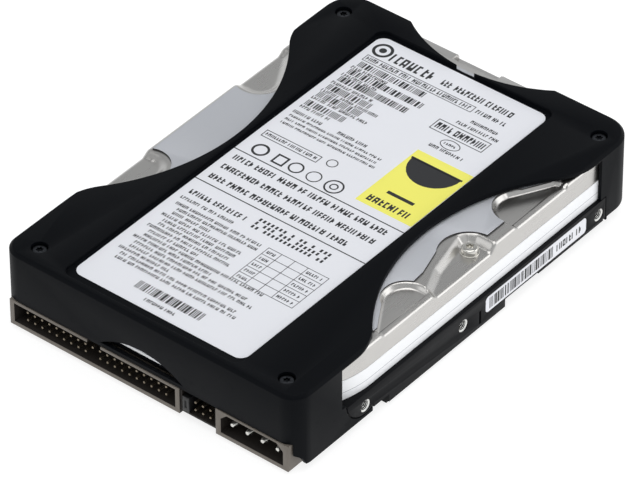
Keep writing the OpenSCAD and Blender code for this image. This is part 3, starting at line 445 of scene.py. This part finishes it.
# ---- Gasket and cover ----
# A foamed rubber gasket seals the drawn stainless cover, which is satin all over. Its rim is rolled
# over a wide bead, and shallow pockets for the screws are pressed into its top.
gasket_rubber = surface("gasket_rubber", "#141414", 0.8, grain=1.2, depth=0.05)
finish(gasket_rubber, "cover_gasket")
satin_stainless = surface("satin_stainless", "#c4c2bf", 0.28, metal=1.0, grain=0.05, grain_scale=1500.0,
                          streak=0.03, way=(1500.0, 30.0, 1500.0), drift=0.06, wear=0.06, depth=0.003)
cover_low, cover_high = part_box("top_cover")
COVER_TOP, COVER_FOOT, COVER_X = cover_high.z / MM, cover_low.z / MM, cover_high.x / MM
cover = tidy_copy("top_cover", "top_cover_finished")
SIDE_INNER, SIDE_FRONT, SIDE_REAR = 34.0, -54.0, 57.0
SIDE_ROLL, CORNER_R, CORNER_Y = 1.25, 30.0, -41.0
SHEET_T = 0.7


def polygon_gap(points, x, y):
    """Signed distance from a polygon's outline, negative inside."""
    best, within = 1e9, False
    for (ax, ay), (bx, by) in zip(points, points[1:] + points[:1]):
        dx, dy = bx - ax, by - ay
        t = max(0.0, min(1.0, ((x - ax) * dx + (y - ay) * dy) / (dx * dx + dy * dy)))
        best = min(best, math.hypot(x - ax - t * dx, y - ay - t * dy))
        if (ay > y) != (by > y) and x < ax + (y - ay) * dx / dy:
            within = not within
    return -best if within else best


def eased(t):
    t = max(0.0, min(1.0, t))
    return t * t * (3 - 2 * t)


FRONT_POCKET = [(38.9, -22.8), (46.6, -35.2), (47.4, -35.6), (53.0, -35.6), (53.0, -14.2), (45.0, -14.2)]
REAR_POCKET = [(38.4, 31.0), (45.4, 43.4), (46.8, 43.9), (53.0, 43.9), (53.0, 21.5), (45.0, 21.5)]
POCKET_DEPTH, PORT_DEPTH = 1.45, 2.25
WALL_RUN, GENTLE_RUN, PORT_RUN = 1.5, 3.0, 2.8
GENTLE_IN = 1.7
RIM_X, RIM_DROP = 47.6, 0.75
PORT_POCKET = [(40.3, 8.4), (43.6, -5.6), (46.8, -13.0), (48.4, -14.4), (53.0, -14.4), (53.0, 11.4),
               (43.2, 11.5), (41.2, 10.6)]


def pressed(x, y, with_port):
    """Depth of the pockets pressed into the cover, which slope more gently on the side with no port."""
    front = min(polygon_gap(FRONT_POCKET, x, y), math.hypot(x - 45.0, y + 20.6) - 6.4)
    rear = min(polygon_gap(REAR_POCKET, x, y), math.hypot(x - 45.0, y - 28.4) - 6.9)
    near = min(front, rear)
    if not with_port:
        return POCKET_DEPTH * eased(0.5 - (near + GENTLE_IN) / GENTLE_RUN)
    rim = RIM_DROP * eased(0.5 - near / WALL_RUN)
    floor_drop = POCKET_DEPTH * eased(0.5 - max(near, x - RIM_X) / WALL_RUN)
    port_drop = PORT_DEPTH * eased(0.5 - polygon_gap(PORT_POCKET, x, y) / PORT_RUN)
    return max(rim, floor_drop, port_drop)


def cover_side(side):
    """One long side of the cover: the pressed top, the rolled edge and the skirt below it."""
    across, roll_steps, along = 56, 7, 320
    columns = across + roll_steps + 5
    deselect()
    bpy.ops.mesh.primitive_grid_add(x_subdivisions=columns, y_subdivisions=along, size=1)
    piece = named("cover_side")
    mesh = piece.data
    for vertex in mesh.vertices:
        column = round((vertex.co.x + 0.5) * columns)
        y = SIDE_FRONT + (vertex.co.y + 0.5) * (SIDE_REAR - SIDE_FRONT)
        edge = COVER_X
        if y < CORNER_Y:
            edge = COVER_X - CORNER_R + math.sqrt(CORNER_R ** 2 - (y - CORNER_Y) ** 2)
        flat_x = SIDE_INNER + (edge - SIDE_ROLL - SIDE_INNER) * min(column, across) / across
        top = COVER_TOP - pressed(flat_x, y, side > 0)
        x, z = flat_x, top
        if column > across:
            turn = min(1.0, (column - across) / roll_steps) * math.pi / 2
            x = edge - SIDE_ROLL + SIDE_ROLL * math.sin(turn)
            z = top - SIDE_ROLL + SIDE_ROLL * math.cos(turn)
        if column > across + roll_steps:
            z += (COVER_FOOT + 0.02 - z) * (column - across - roll_steps) / 5
        vertex.co = (side * x * MM, y * MM, z * MM)
    if side < 0:
        hold(piece)
        bpy.ops.object.mode_set(mode="EDIT")
        bpy.ops.mesh.select_all(action="SELECT")
        bpy.ops.mesh.flip_normals()
        bpy.ops.object.mode_set(mode="OBJECT")
    hold(piece)
    modifier = piece.modifiers.new("sheet", "SOLIDIFY")
    modifier.thickness, modifier.offset = SHEET_T * MM, -1.0
    bpy.ops.object.modifier_apply(modifier=modifier.name)
    bpy.ops.object.shade_smooth_by_angle(angle=math.radians(40))
    return piece


cut(cover, *[block("side_window", (min(side * SIDE_INNER, side * 60), SIDE_FRONT, COVER_FOOT - 1),
                   (max(side * SIDE_INNER, side * 60), SIDE_REAR, COVER_TOP + 1)) for side in (-1, 1)])
round_off(cover, level_at(COVER_TOP), 0.4, 3)
bpy.ops.object.shade_smooth_by_angle(angle=math.radians(34))
for side in (-1, 1):
    half = cover_side(side)
    hold(cover)
    half.select_set(True)
    bpy.ops.object.join()
fit(cover, "case", "cover_steel", satin_stainless, "top_cover")

# ---- Damper plate ----
# A second sheet is bonded over the cover with a thin dark adhesive. Its cut edge is painted as a fine
# dark line, partly the adhesive's own colour and partly painted shade along the pocket beside it. Its grey
# face is matter than the cover.
damper_steel = surface("damper_steel", "#c0c2c7", 0.5, metal=0.55, grain=0.3, grain_scale=3000.0,
                       drift=0.03, wear=0.05, depth=0.006)
damper = soft_copy("cover_damper", "cover_damper_finished", "case", "damper_steel", damper_steel, 0.12, 2)
adhesive_and_painted_shade_edge = surface("adhesive_and_painted_shade_edge", "#2b2a2a", 0.6, grain=0.5, depth=0.01)
damper.data.materials.append(adhesive_and_painted_shade_edge)
# The sheet's side faces take the dark material: adhesive colour together with painted shade.
for face in damper.data.polygons:
    face.material_index = int(abs(face.normal.z) < 0.5)


# ---- Screws ----
# Pan-head screws with six-lobe sockets fix the cover, the jacket and the board. They are turned once
# for each size: a low domed head, the socket cut in, a plain shank below.
def lobed_screw(name, head_r, head_h, shank_r, shank_l, dome):
    """A screw at the origin, with the underside of its head at z = 0."""
    head = rod(name, 0, 0, 0, head_h, head_r, 72)
    round_off(head, level_at(head_h), dome, 5)
    add(head, rod("shank", 0, 0, -shank_l, 0.05, shank_r, 32))
    socket = rod("socket", 0, 0, head_h - 0.75, head_h + 1, head_r * 0.36, 32)
    lobes = []
    for turn in range(6):
        way = math.radians(60 * turn)
        lobes.append(rod("lobe", math.cos(way) * head_r * 0.36, math.sin(way) * head_r * 0.36,
                         head_h - 0.75, head_h + 1, head_r * 0.13, 24))
    add(socket, *lobes)
    cut(head, socket)
    return soften(head, 0.05, 2, 40)


def set_screws(name, model, places, body, slot, material, node):
    """Copies one screw to each place, in mm, and joins the copies into one piece."""
    copies = []
    for number, (x, y, z, turn) in enumerate(places):
        hold(model)
        bpy.ops.object.duplicate()
        screw = bpy.context.object
        screw.location = (x * MM, y * MM, z * MM)
        screw.rotation_euler = (0, math.pi if node == "board_screws" else 0, math.radians(turn))
        bpy.ops.object.transform_apply(location=True, rotation=True, scale=True)
        copies.append(screw)
    deselect()
    for screw in copies:
        screw.select_set(True)
    bpy.context.view_layer.objects.active = copies[0]
    if len(copies) > 1:
        bpy.ops.object.join()
    screw = bpy.context.object
    screw.name = screw.data.name = name
    bpy.data.objects.remove(model, do_unlink=True)
    return fit(screw, body, slot, material, node)


zinc_steel = surface("zinc_plated_steel", "#d2d0ca", 0.2, metal=1.0, grain=0.4, drift=0.08, depth=0.01)
dark_zinc = surface("dark_zinc_steel", "#3c3e42", 0.3, metal=1.0, grain=0.4, drift=0.1, depth=0.01)
COVER_SCREWS = ((44.6, -40.5), (30.0, -64.5), (34.5, 66.0))
set_screws("cover_screws_finished", lobed_screw("cover_screw", 2.2, 1.9, 1.1, 6.0, 0.5),
           [(s * x, y, COVER_TOP - 2.4, 17 * i) for s in (-1, 1) for i, (x, y) in enumerate(COVER_SCREWS)],
           "case", "screw_steel", zinc_steel, "cover_screws")

port_low, port_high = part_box("port_screw")
PORT_X, PORT_Y = (port_low.x + port_high.x) / 2 / MM, (port_low.y + port_high.y) / 2 / MM
port = lobed_screw("port_screw_head", 2.35, 1.7, 1.25, 3.6, 0.65)
collar = rod("collar", 0, 0, -0.5, 0.02, 2.7, 72)
round_off(collar, level_at(0.02), 0.2, 3)
add(port, collar)
set_screws("port_screw_finished", port, [(PORT_X, PORT_Y, COVER_TOP - 1.8, 10)], "case", "screw_steel",
           zinc_steel, "port_screw")
finish(zinc_steel, "port_nut")

# ---- Seam tape ----
# A white polyester film is wound once round the joint between casting and cover. A shallow groove runs
# along its middle over the step under it, and the groove's faces are painted grey as painted shade.
tape_film = surface("tape_film", "#f6f7f9", 0.38, grain=0.3, drift=0.03, wear=0.04, depth=0.02, coat=0.15)
tape = tidy_copy("seam_tape", "seam_tape_finished")
STEP_Z, STEP_W, STEP_SINK = 13.1, 0.1, 0.05
hold(tape)
bpy.ops.object.mode_set(mode="EDIT")
for level in (STEP_Z - STEP_W, STEP_Z, STEP_Z + STEP_W):
    bpy.ops.mesh.select_all(action="SELECT")
    bpy.ops.mesh.bisect(plane_co=(0, 0, level * MM), plane_no=(0, 0, 1))
bpy.ops.object.mode_set(mode="OBJECT")
for vertex in tape.data.vertices:
    if abs(vertex.co.z / MM - STEP_Z) < 0.01:
        vertex.co -= vertex.normal * STEP_SINK * MM
fit(tape, "case", "white_film", tape_film, "seam_tape")
# Painted shade: a grey material for the faces of the groove, where the step under the tape shades it.
step_painted_shade = surface("tape_step_painted_shade", "#a9abb0", 0.45, grain=0.3, drift=0.02, depth=0.01)
tape.data.materials.append(step_painted_shade)
for face in tape.data.polygons:
    face.material_index = int(abs(face.center.z / MM - STEP_Z) < STEP_W / 2 + 0.01)

# ---- Circuit board ----
# A green glass-epoxy board lies face up against the deck. A dark insulating sheet and a pressed
# steel sheet cover its underside, and six screws hold all three to the casting.
solder_mask = surface("solder_mask", "#1d5232", 0.3, grain=0.4, grain_scale=900.0, drift=0.1, depth=0.02,
                      coat=0.3)
fish_paper = surface("insulating_sheet", "#26272a", 0.6, grain=0.8, depth=0.02)
chip_epoxy = surface("chip_epoxy", "#1a1b1d", 0.5, grain=0.9, depth=0.02)
can_nickel = surface("crystal_can", "#c0c0bf", 0.22, metal=1.0, grain=0.3, streak=0.1, depth=0.01)
ceramic = surface("capacitor_ceramic", "#9b8259", 0.5, grain=0.6, depth=0.02)
finish(solder_mask, "circuit_board")
finish(fish_paper, "board_insulator")
finish(chip_epoxy, "controller_chip", "buffer_chip", "motor_driver_chip", "resistors")
finish(can_nickel, "clock_crystal")
finish(ceramic, "capacitors")
shield_tin = surface("shield_tinplate", "#aeb0b1", 0.3, metal=1.0, grain=0.5, streak=0.16,
                     way=(1800.0, 25.0, 1800.0), drift=0.1, wear=0.2, depth=0.015)
soft_copy("board_shield", "board_shield_finished", "case", "shield_steel", shield_tin, 0.1)
BOARD_SCREWS = ((38.0, -50.9), (38.0, -0.9), (37.0, 38.1))
set_screws("board_screws_finished", lobed_screw("board_screw", 2.1, 0.65, 1.1, 5.8, 0.3),
           [(s * x, y, 0.7, 23 * i) for s in (-1, 1) for i, (x, y) in enumerate(BOARD_SCREWS)],
           "case", "screw_steel", zinc_steel, "board_screws")

# ---- Connector housing and pins ----
# One glass-filled moulding holds the 40-way data shroud, the jumper bay and the four-way power
# socket. Square gold-flashed pins and tinned round pins are pressed through its back wall.
housing_plastic = surface("housing_plastic", "#625b53", 0.46, grain=0.8, grain_scale=1600.0, drift=0.1,
                          wear=0.12, depth=0.03, specular=0.5)
housing = soft_copy("connector_housing", "connector_housing_finished", "case", "housing_plastic",
                    housing_plastic, 0.16, 2)
# Painted shade: a darker copy of the same plastic stands in for the shadow deep inside the sockets.
housing_inside_painted_shade = surface("housing_inside_painted_shade", "#1b1612", 0.6, grain=0.8, grain_scale=1600.0, depth=0.03,
                         specular=0.3)
housing.data.materials.append(housing_inside_painted_shade)
rim_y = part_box("connector_housing")[0].y / MM
SOCKET_Y, SOCKET_Z, SOCKET_X = (rim_y + 0.3, rim_y + 9.5), (2.4, 9.7), (-47.0, 46.5)
# Faces inside the sockets take the painted-shade copy of the plastic.
for face in housing.data.polygons:
    x, y, z = (c / MM for c in face.center)
    face.material_index = int(SOCKET_X[0] < x < SOCKET_X[1] and SOCKET_Y[0] < y < SOCKET_Y[1]
                              and SOCKET_Z[0] < z < SOCKET_Z[1])
gold_flash = surface("gold_flash", "#857b6c", 0.42, metal=1.0, grain=0.3, drift=0.15, depth=0.008)
tinned_brass = surface("tinned_brass", "#d6d5d0", 0.25, metal=1.0, grain=0.3, drift=0.1, depth=0.008)
soft_copy("data_pins", "data_pins_finished", "case", "pin_metal", gold_flash, 0.12, 1)
soft_copy("jumper_pins", "jumper_pins_finished", "case", "pin_metal", gold_flash, 0.12, 1)
soft_copy("power_pins", "power_pins_finished", "case", "pin_metal", tinned_brass, 0.12, 2)
soft_copy("jumper_cap", "jumper_cap_finished", "shorting_cap", "black_plastic", moulded_black, 0.15, 2)
finish(gold_flash, "jumper_contact")

# ---- Shock jacket ----
# A soft black moulding is pulled over the case and screwed at its corners. Its skin is a fine satin,
# and every edge is moulded round.
jacket_skin = surface("jacket_skin", "#05070b", 0.5, grain=0.6, grain_scale=2200.0, drift=0.15,
                      wear=0.1, depth=0.02, specular=0.065)
soft_copy("shock_jacket", "shock_jacket_finished", "case", "jacket_rubber", jacket_skin, 0.4, 3)
screw_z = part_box("jacket_screws")[1].z / MM - 1.9
JACKET_SCREWS = ((42.3, -66.9), (44.5, 64.3))
set_screws("jacket_screws_finished", lobed_screw("jacket_screw", 2.2, 1.9, 1.2, 7.2, 0.5),
           [(s * x, y, screw_z, 31 * i + 11 * s) for s in (-1, 1) for i, (x, y) in enumerate(JACKET_SCREWS)],
           "case", "dark_steel", dark_zinc, "jacket_screws")

# ---- Main label ----
# A white film label lies in the jacket's recess. Its printing is thin dry ink: rules, bar patterns
# and rows of small marks that stand for text without spelling any.
label_film = surface("label_film", "#e6e7ec", 0.42, grain=0.3, drift=0.02, wear=0.05, depth=0.008, coat=0.1)
finish(label_film, "main_label")
label_low, label_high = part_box("main_label")
LABEL_LEFT, LABEL_REAR, LABEL_TOP = label_low.x / MM, label_high.y / MM, label_high.z / MM
INK_T = 0.02
printed = []


def sheet(a0, a1, b0, b1, columns=1, rows=1):
    """A flat grid on the label: a runs right from its left edge and b forward from its rear edge."""
    deselect()
    bpy.ops.mesh.primitive_grid_add(x_subdivisions=columns, y_subdivisions=rows, size=1)
    bpy.context.object.scale = ((a1 - a0) * MM, (b1 - b0) * MM, 1)
    bpy.context.object.location = ((LABEL_LEFT + (a0 + a1) / 2) * MM, (LABEL_REAR - (b0 + b1) / 2) * MM,
                                   (LABEL_TOP + 0.004) * MM)
    printed.append(named("ink"))
    return printed[-1]


def clear_cells(piece, columns, rows, kept):
    """Deletes the cells of a grid whose (column, row) isn't kept."""
    hold(piece)
    mesh = piece.data
    xs = [v.co.x for v in mesh.vertices]
    ys = [v.co.y for v in mesh.vertices]
    x0, y0 = min(xs), min(ys)
    w, h = (max(xs) - x0) / columns, (max(ys) - y0) / rows
    flags = []
    for face in mesh.polygons:
        cell = (int((face.center.x - x0) / w), int((face.center.y - y0) / h))
        flags.append(cell not in kept)
    for group in (mesh.vertices, mesh.edges):
        group.foreach_set("select", [False] * len(group))
    mesh.polygons.foreach_set("select", flags)
    bpy.ops.object.mode_set(mode="EDIT")
    bpy.ops.mesh.select_mode(type="FACE")
    bpy.ops.object.mode_set(mode="OBJECT")
    mesh.polygons.foreach_set("select", flags)
    bpy.ops.object.mode_set(mode="EDIT")
    bpy.ops.mesh.delete(type="FACE")
    bpy.ops.object.mode_set(mode="OBJECT")


def words(a0, a1, b, h, stroke=0.27, rows=3, tight=False):
    """A row of small marks in word-like groups, which stand for a line of text."""
    columns = max(4, round((a1 - a0) / stroke))
    kept, column, letters = set(), 0, random.randint(3, 9)
    while column < columns - 1:
        kept |= {(column, row) for row in range(rows)}
        if random.random() < 0.8:
            kept |= {(column + 1, row) for row in random.sample(range(rows), max(1, rows // 2))}
        if random.random() < 0.35:
            kept |= {(column + 2, row) for row in range(rows)}
            column += 1
        column += 3
        letters -= 1
        if not letters:
            column += 1 if tight else 2
            letters = random.randint(2, 9)
    clear_cells(sheet(a0, a1, b - h / 2, b + h / 2, columns, rows), columns, rows, kept)


def bars(a0, a1, b, h, stroke=0.26):
    """A pattern of upright bars of uneven width."""
    columns = round((a1 - a0) / stroke)
    kept, column = {(0, 0), (2, 0)}, 4
    while column < columns - 3:
        wide = random.choice((1, 1, 1, 2, 3))
        kept |= {(column + i, 0) for i in range(wide)}
        column += wide + random.choice((1, 1, 2))
    kept |= {(columns - 1, 0), (columns - 3, 0)}
    clear_cells(sheet(a0, a1, b - h / 2, b + h / 2, columns, 1), columns, 1, kept)


def rule(a0, a1, b, t=0.3):
    sheet(a0, a1, b - t / 2, b + t / 2)


def box_line(a0, a1, b0, b1, t=0.3):
    """An empty printed box."""
    piece = sheet(a0, a1, b0, b1)
    hold(piece)
    bpy.ops.object.mode_set(mode="EDIT")
    bpy.ops.mesh.select_all(action="SELECT")
    bpy.ops.mesh.inset(thickness=t * MM)
    bpy.ops.mesh.delete(type="FACE")
    bpy.ops.object.mode_set(mode="OBJECT")


def loop(a, b, r, t=0.35, stretch=1.0, filled=False):
    """A printed ring or disc."""
    deselect()
    bpy.ops.mesh.primitive_circle_add(vertices=32, radius=r * MM, fill_type="NGON")
    piece = bpy.context.object
    piece.scale = (stretch, 1, 1)
    piece.location = ((LABEL_LEFT + a) * MM, (LABEL_REAR - b) * MM, (LABEL_TOP + 0.004) * MM)
    printed.append(named("ink"))
    if not filled:
        bpy.ops.object.mode_set(mode="EDIT")
        bpy.ops.mesh.select_all(action="SELECT")
        bpy.ops.mesh.inset(thickness=t * MM)
        bpy.ops.mesh.delete(type="FACE")
        bpy.ops.object.mode_set(mode="OBJECT")
    return piece


def print_layer(name, material, slot, base_z):
    """Joins what was printed since the last layer into one thin solid film of ink."""
    deselect()
    for piece in printed:
        piece.select_set(True)
    bpy.context.view_layer.objects.active = printed[0]
    bpy.ops.object.join()
    piece = bpy.context.object
    piece.name = piece.data.name = name
    printed.clear()
    hold(piece)
    modifier = piece.modifiers.new("ink", "SOLIDIFY")
    modifier.thickness, modifier.offset = INK_T * MM, 1.0
    bpy.ops.object.modifier_apply(modifier=modifier.name)
    return fit(piece, "case", slot, material)


loop(4.5, 5.2, 3.1, 0.9)
loop(4.5, 5.2, 1.1, filled=True)
words(8.2, 22.5, 6.0, 3.6, 0.62, 5, True)
words(26.0, 29.0, 6.0, 2.4, 0.4, 4)
words(30.5, 51.5, 6.0, 2.4, 0.4, 4)
box_line(2.3, 40.3, 9.1, 12.0, 0.22)
words(3.0, 39.6, 10.5, 1.6, 0.3)
words(41.3, 51.5, 10.5, 1.6, 0.3)
for a0, a1, b in ((3.0, 25.8, 13.9), (2.8, 28.4, 18.2), (2.8, 26.4, 22.4), (2.6, 17.5, 27.2),
                  (2.6, 17.5, 31.5), (2.4, 15.6, 36.3)):
    bars(a0, a1, b, 2.5)
for a0, a1, b in ((2.2, 15.3, 16.2), (2.2, 14.7, 20.4), (2.2, 16.8, 24.9), (2.2, 21.6, 29.4),
                  (2.2, 21.6, 33.6), (2.2, 13.0, 38.6), (2.2, 13.0, 41.5), (17.7, 27.6, 41.5),
                  (43.0, 52.0, 15.0), (40.0, 54.0, 17.5), (40.2, 52.2, 29.9)):
    words(a0, a1, b, 1.25)
for b in (43.6, 45.5, 47.4):
    words(2.5, 35.0, b, 0.9, 0.24, 2)
box_line(35.5, 53.5, 19.3, 24.2, 0.25)
words(36.4, 52.6, 21.8, 2.6, 0.4, 4)
loop(45.0, 26.9, 2.0, 0.25, 1.6)
words(43.0, 47.0, 26.9, 0.9, 0.25, 2)
box_line(2.0, 21.3, 52.5, 55.6, 0.25)
words(2.8, 20.5, 54.0, 1.2)
loop(25.0, 53.0, 1.7, 0.3)
loop(6.2, 60.6, 2.6, 0.7)
box_line(11.2, 15.2, 58.6, 62.8, 0.6)
loop(18.6, 60.6, 2.3, 0.5)
loop(24.8, 60.6, 2.3, 0.35)
loop(31.7, 60.6, 2.9, 0.5)
loop(31.7, 60.6, 1.3, 0.4)
rule(0.0, 58.5, 64.2, 0.35)
for a1, b in ((55.0, 67.2), (56.0, 72.2), (49.6, 77.4)):
    words(2.4, a1, b, 2.1, 0.42, 4)
rule(0.0, 58.5, 80.7, 0.35)
words(2.7, 23.0, 86.0, 1.9, 0.4, 4)
words(2.3, 21.0, 89.4, 1.2)
LINE_ENDS = (33, 33, 18, 31, 30, 30, 31, 22, 46, 30, 44, 47, 20, 45, 46)
for number, end in enumerate(LINE_ENDS):
    words(5.0 if number % 3 else 3.0, end, 92.2 + 1.95 * number, 1.15)
for row in range(3):
    clear_cells(sheet(25.0, 50.0, 83.2 + 1.7 * row, 84.4 + 1.7 * row, 36, 1), 36, 1,
                {(i, 0) for i in range(0, 36, 2) if random.random() < 0.85})
for row in range(6):
    rule(34.5, 55.0, 91.5 + 3.1 * row, 0.18)
for column in (34.5, 39.0, 43.5, 48.0, 55.0):
    sheet(column - 0.09, column + 0.09, 91.4, 107.1)
for row in range(5):
    words(35.2, 38.4, 93.1 + 3.1 * row, 1.1)
    words(48.7, 54.0, 93.1 + 3.1 * row, 1.1)
bars(16.9, 39.2, 124.6, 3.2)
words(22.5, 33.3, 128.3, 1.2)

# The coloured panel is printed first, and a plain half disc over a bar stands in its middle.
words(41.4, 56.1, 58.0, 2.5, 0.5, 4)
sheet(39.9, 57.2, 36.9, 37.6)
bowl = loop(48.55, 37.4, 8.3, filled=True, stretch=1.0)
hold(bowl)
bpy.ops.object.mode_set(mode="EDIT")
bpy.ops.mesh.select_all(action="SELECT")
bpy.ops.mesh.bisect(plane_co=(0, (LABEL_REAR - 37.3) * MM, 0), plane_no=(0, 1, 0), clear_outer=True)
bpy.ops.object.mode_set(mode="OBJECT")
sheet(44.2, 53.2, 52.6, 53.8)
for piece in printed[-4:]:
    piece.location.z += 0.024 * MM
    hold(piece)
    bpy.ops.object.transform_apply(location=True, rotation=False, scale=False)
black_ink = surface("black_ink", "#1b1c1f", 0.5, grain=0.5, drift=0.1, wear=0.1, depth=0.004)
print_layer("main_label_black_ink", black_ink, "label_paper", LABEL_TOP)
yellow_ink = surface("yellow_ink", "#f3ee6a", 0.45, grain=0.3, drift=0.02, depth=0.004)
sheet(39.3, 58.4, 33.7, 61.0)
print_layer("main_label_yellow_ink", yellow_ink, "label_paper", LABEL_TOP)

# ---- Side label ----
# A narrow film strip lies in a recess of the right rail, with one bar pattern and a short row of
# marks. It is printed flat and then turned up against the rail.
side_low, side_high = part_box("side_label")
SIDE_X, SIDE_MID = side_high.x / MM, (side_low.z + side_high.z) / 2 / MM
side_film = tidy_copy("side_label", "side_label_finished")
for vertex in side_film.data.vertices:
    vertex.co.x = min(vertex.co.x, (SIDE_X - 0.03) * MM)
fit(side_film, "case", "label_paper", label_film, "side_label")
LABEL_LEFT, LABEL_REAR, LABEL_TOP = side_low.y / MM, 0.0, 0.0
bars(1.6, 29.5, 0.0, 3.6, 0.27)
words(31.2, 42.0, 0.0, 2.2, 0.4, 4)
strip = print_layer("side_label_ink", black_ink, "label_paper", 0.0)
strip.matrix_world = Matrix(((0, 0, 1, (SIDE_X - 0.027) * MM), (1, 0, 0, 0), (0, 1, 0, SIDE_MID * MM),
                             (0, 0, 0, 1)))
hold(strip)
bpy.ops.object.transform_apply(location=True, rotation=True, scale=True)


# ---- Stage ----
# A white sweep under soft studio light: a wide box overhead, one low at the right rear whose
# reflection runs along the cover's rolled edge, and pale surroundings.
deselect()
bpy.ops.mesh.primitive_plane_add(size=6.0, location=(0, 0, -0.0002))
floor = named("floor")
floor_paint = bpy.data.materials.new("light_table_white")
floor_paint.use_nodes = True
floor_shader = floor_paint.node_tree.nodes["Principled BSDF"]
floor_shader.inputs["Base Color"].default_value = (0.32, 0.32, 0.32, 1)
floor_shader.inputs["Roughness"].default_value = 0.9
floor_shader.inputs["Emission Color"].default_value = (1.0, 1.0, 1.0, 1)
floor_shader.inputs["Emission Strength"].default_value = 0.8
dress(floor, floor_paint)

world = bpy.data.worlds.new("studio")
bpy.context.scene.world = world
world.use_nodes = True
sky = world.node_tree
sky_way = node_in(sky, "TexCoord")
sky_parts = node_in(sky, "SeparateXYZ", Vector=sky_way.outputs["Generated"])
sky_ramp = node_in(sky, "ValToRGB", Fac=sky_parts.outputs["Z"])
for place, level in ((0.0, 1.0), (1.0, 0.3), (0.3, 0.85), (0.55, 0.6), (0.72, 0.42)):
    stop = (sky_ramp.color_ramp.elements[int(place)] if place in (0.0, 1.0)
            else sky_ramp.color_ramp.elements.new(place))
    stop.position, stop.color = place, (level * 0.96, level * 0.98, level, 1)
sky.links.new(sky_ramp.outputs["Color"], sky.nodes["Background"].inputs["Color"])
sky.nodes["Background"].inputs["Strength"].default_value = 0.95


def softbox(name, direction, distance, size, power):
    light = bpy.data.lights.new(name, "AREA")
    light.shape, light.size, light.energy = "SQUARE", size, power
    lamp = bpy.data.objects.new(name, light)
    way = Vector(direction).normalized()
    lamp.matrix_world = Matrix.Translation(way * distance) @ way.to_track_quat("Z", "Y").to_matrix().to_4x4()
    bpy.context.scene.collection.objects.link(lamp)
    return lamp


softbox("overhead", (0.1, -0.05, 1.0), 1.6, 1.6, 14.0)
softbox("right_rear", (0.70, 0.55, 0.45), 1.4, 0.9, 3.4)
softbox("front_left", (-0.5, -0.8, 0.5), 1.8, 1.0, 2.0)
bpy.context.scene.view_settings.view_transform = "Standard"
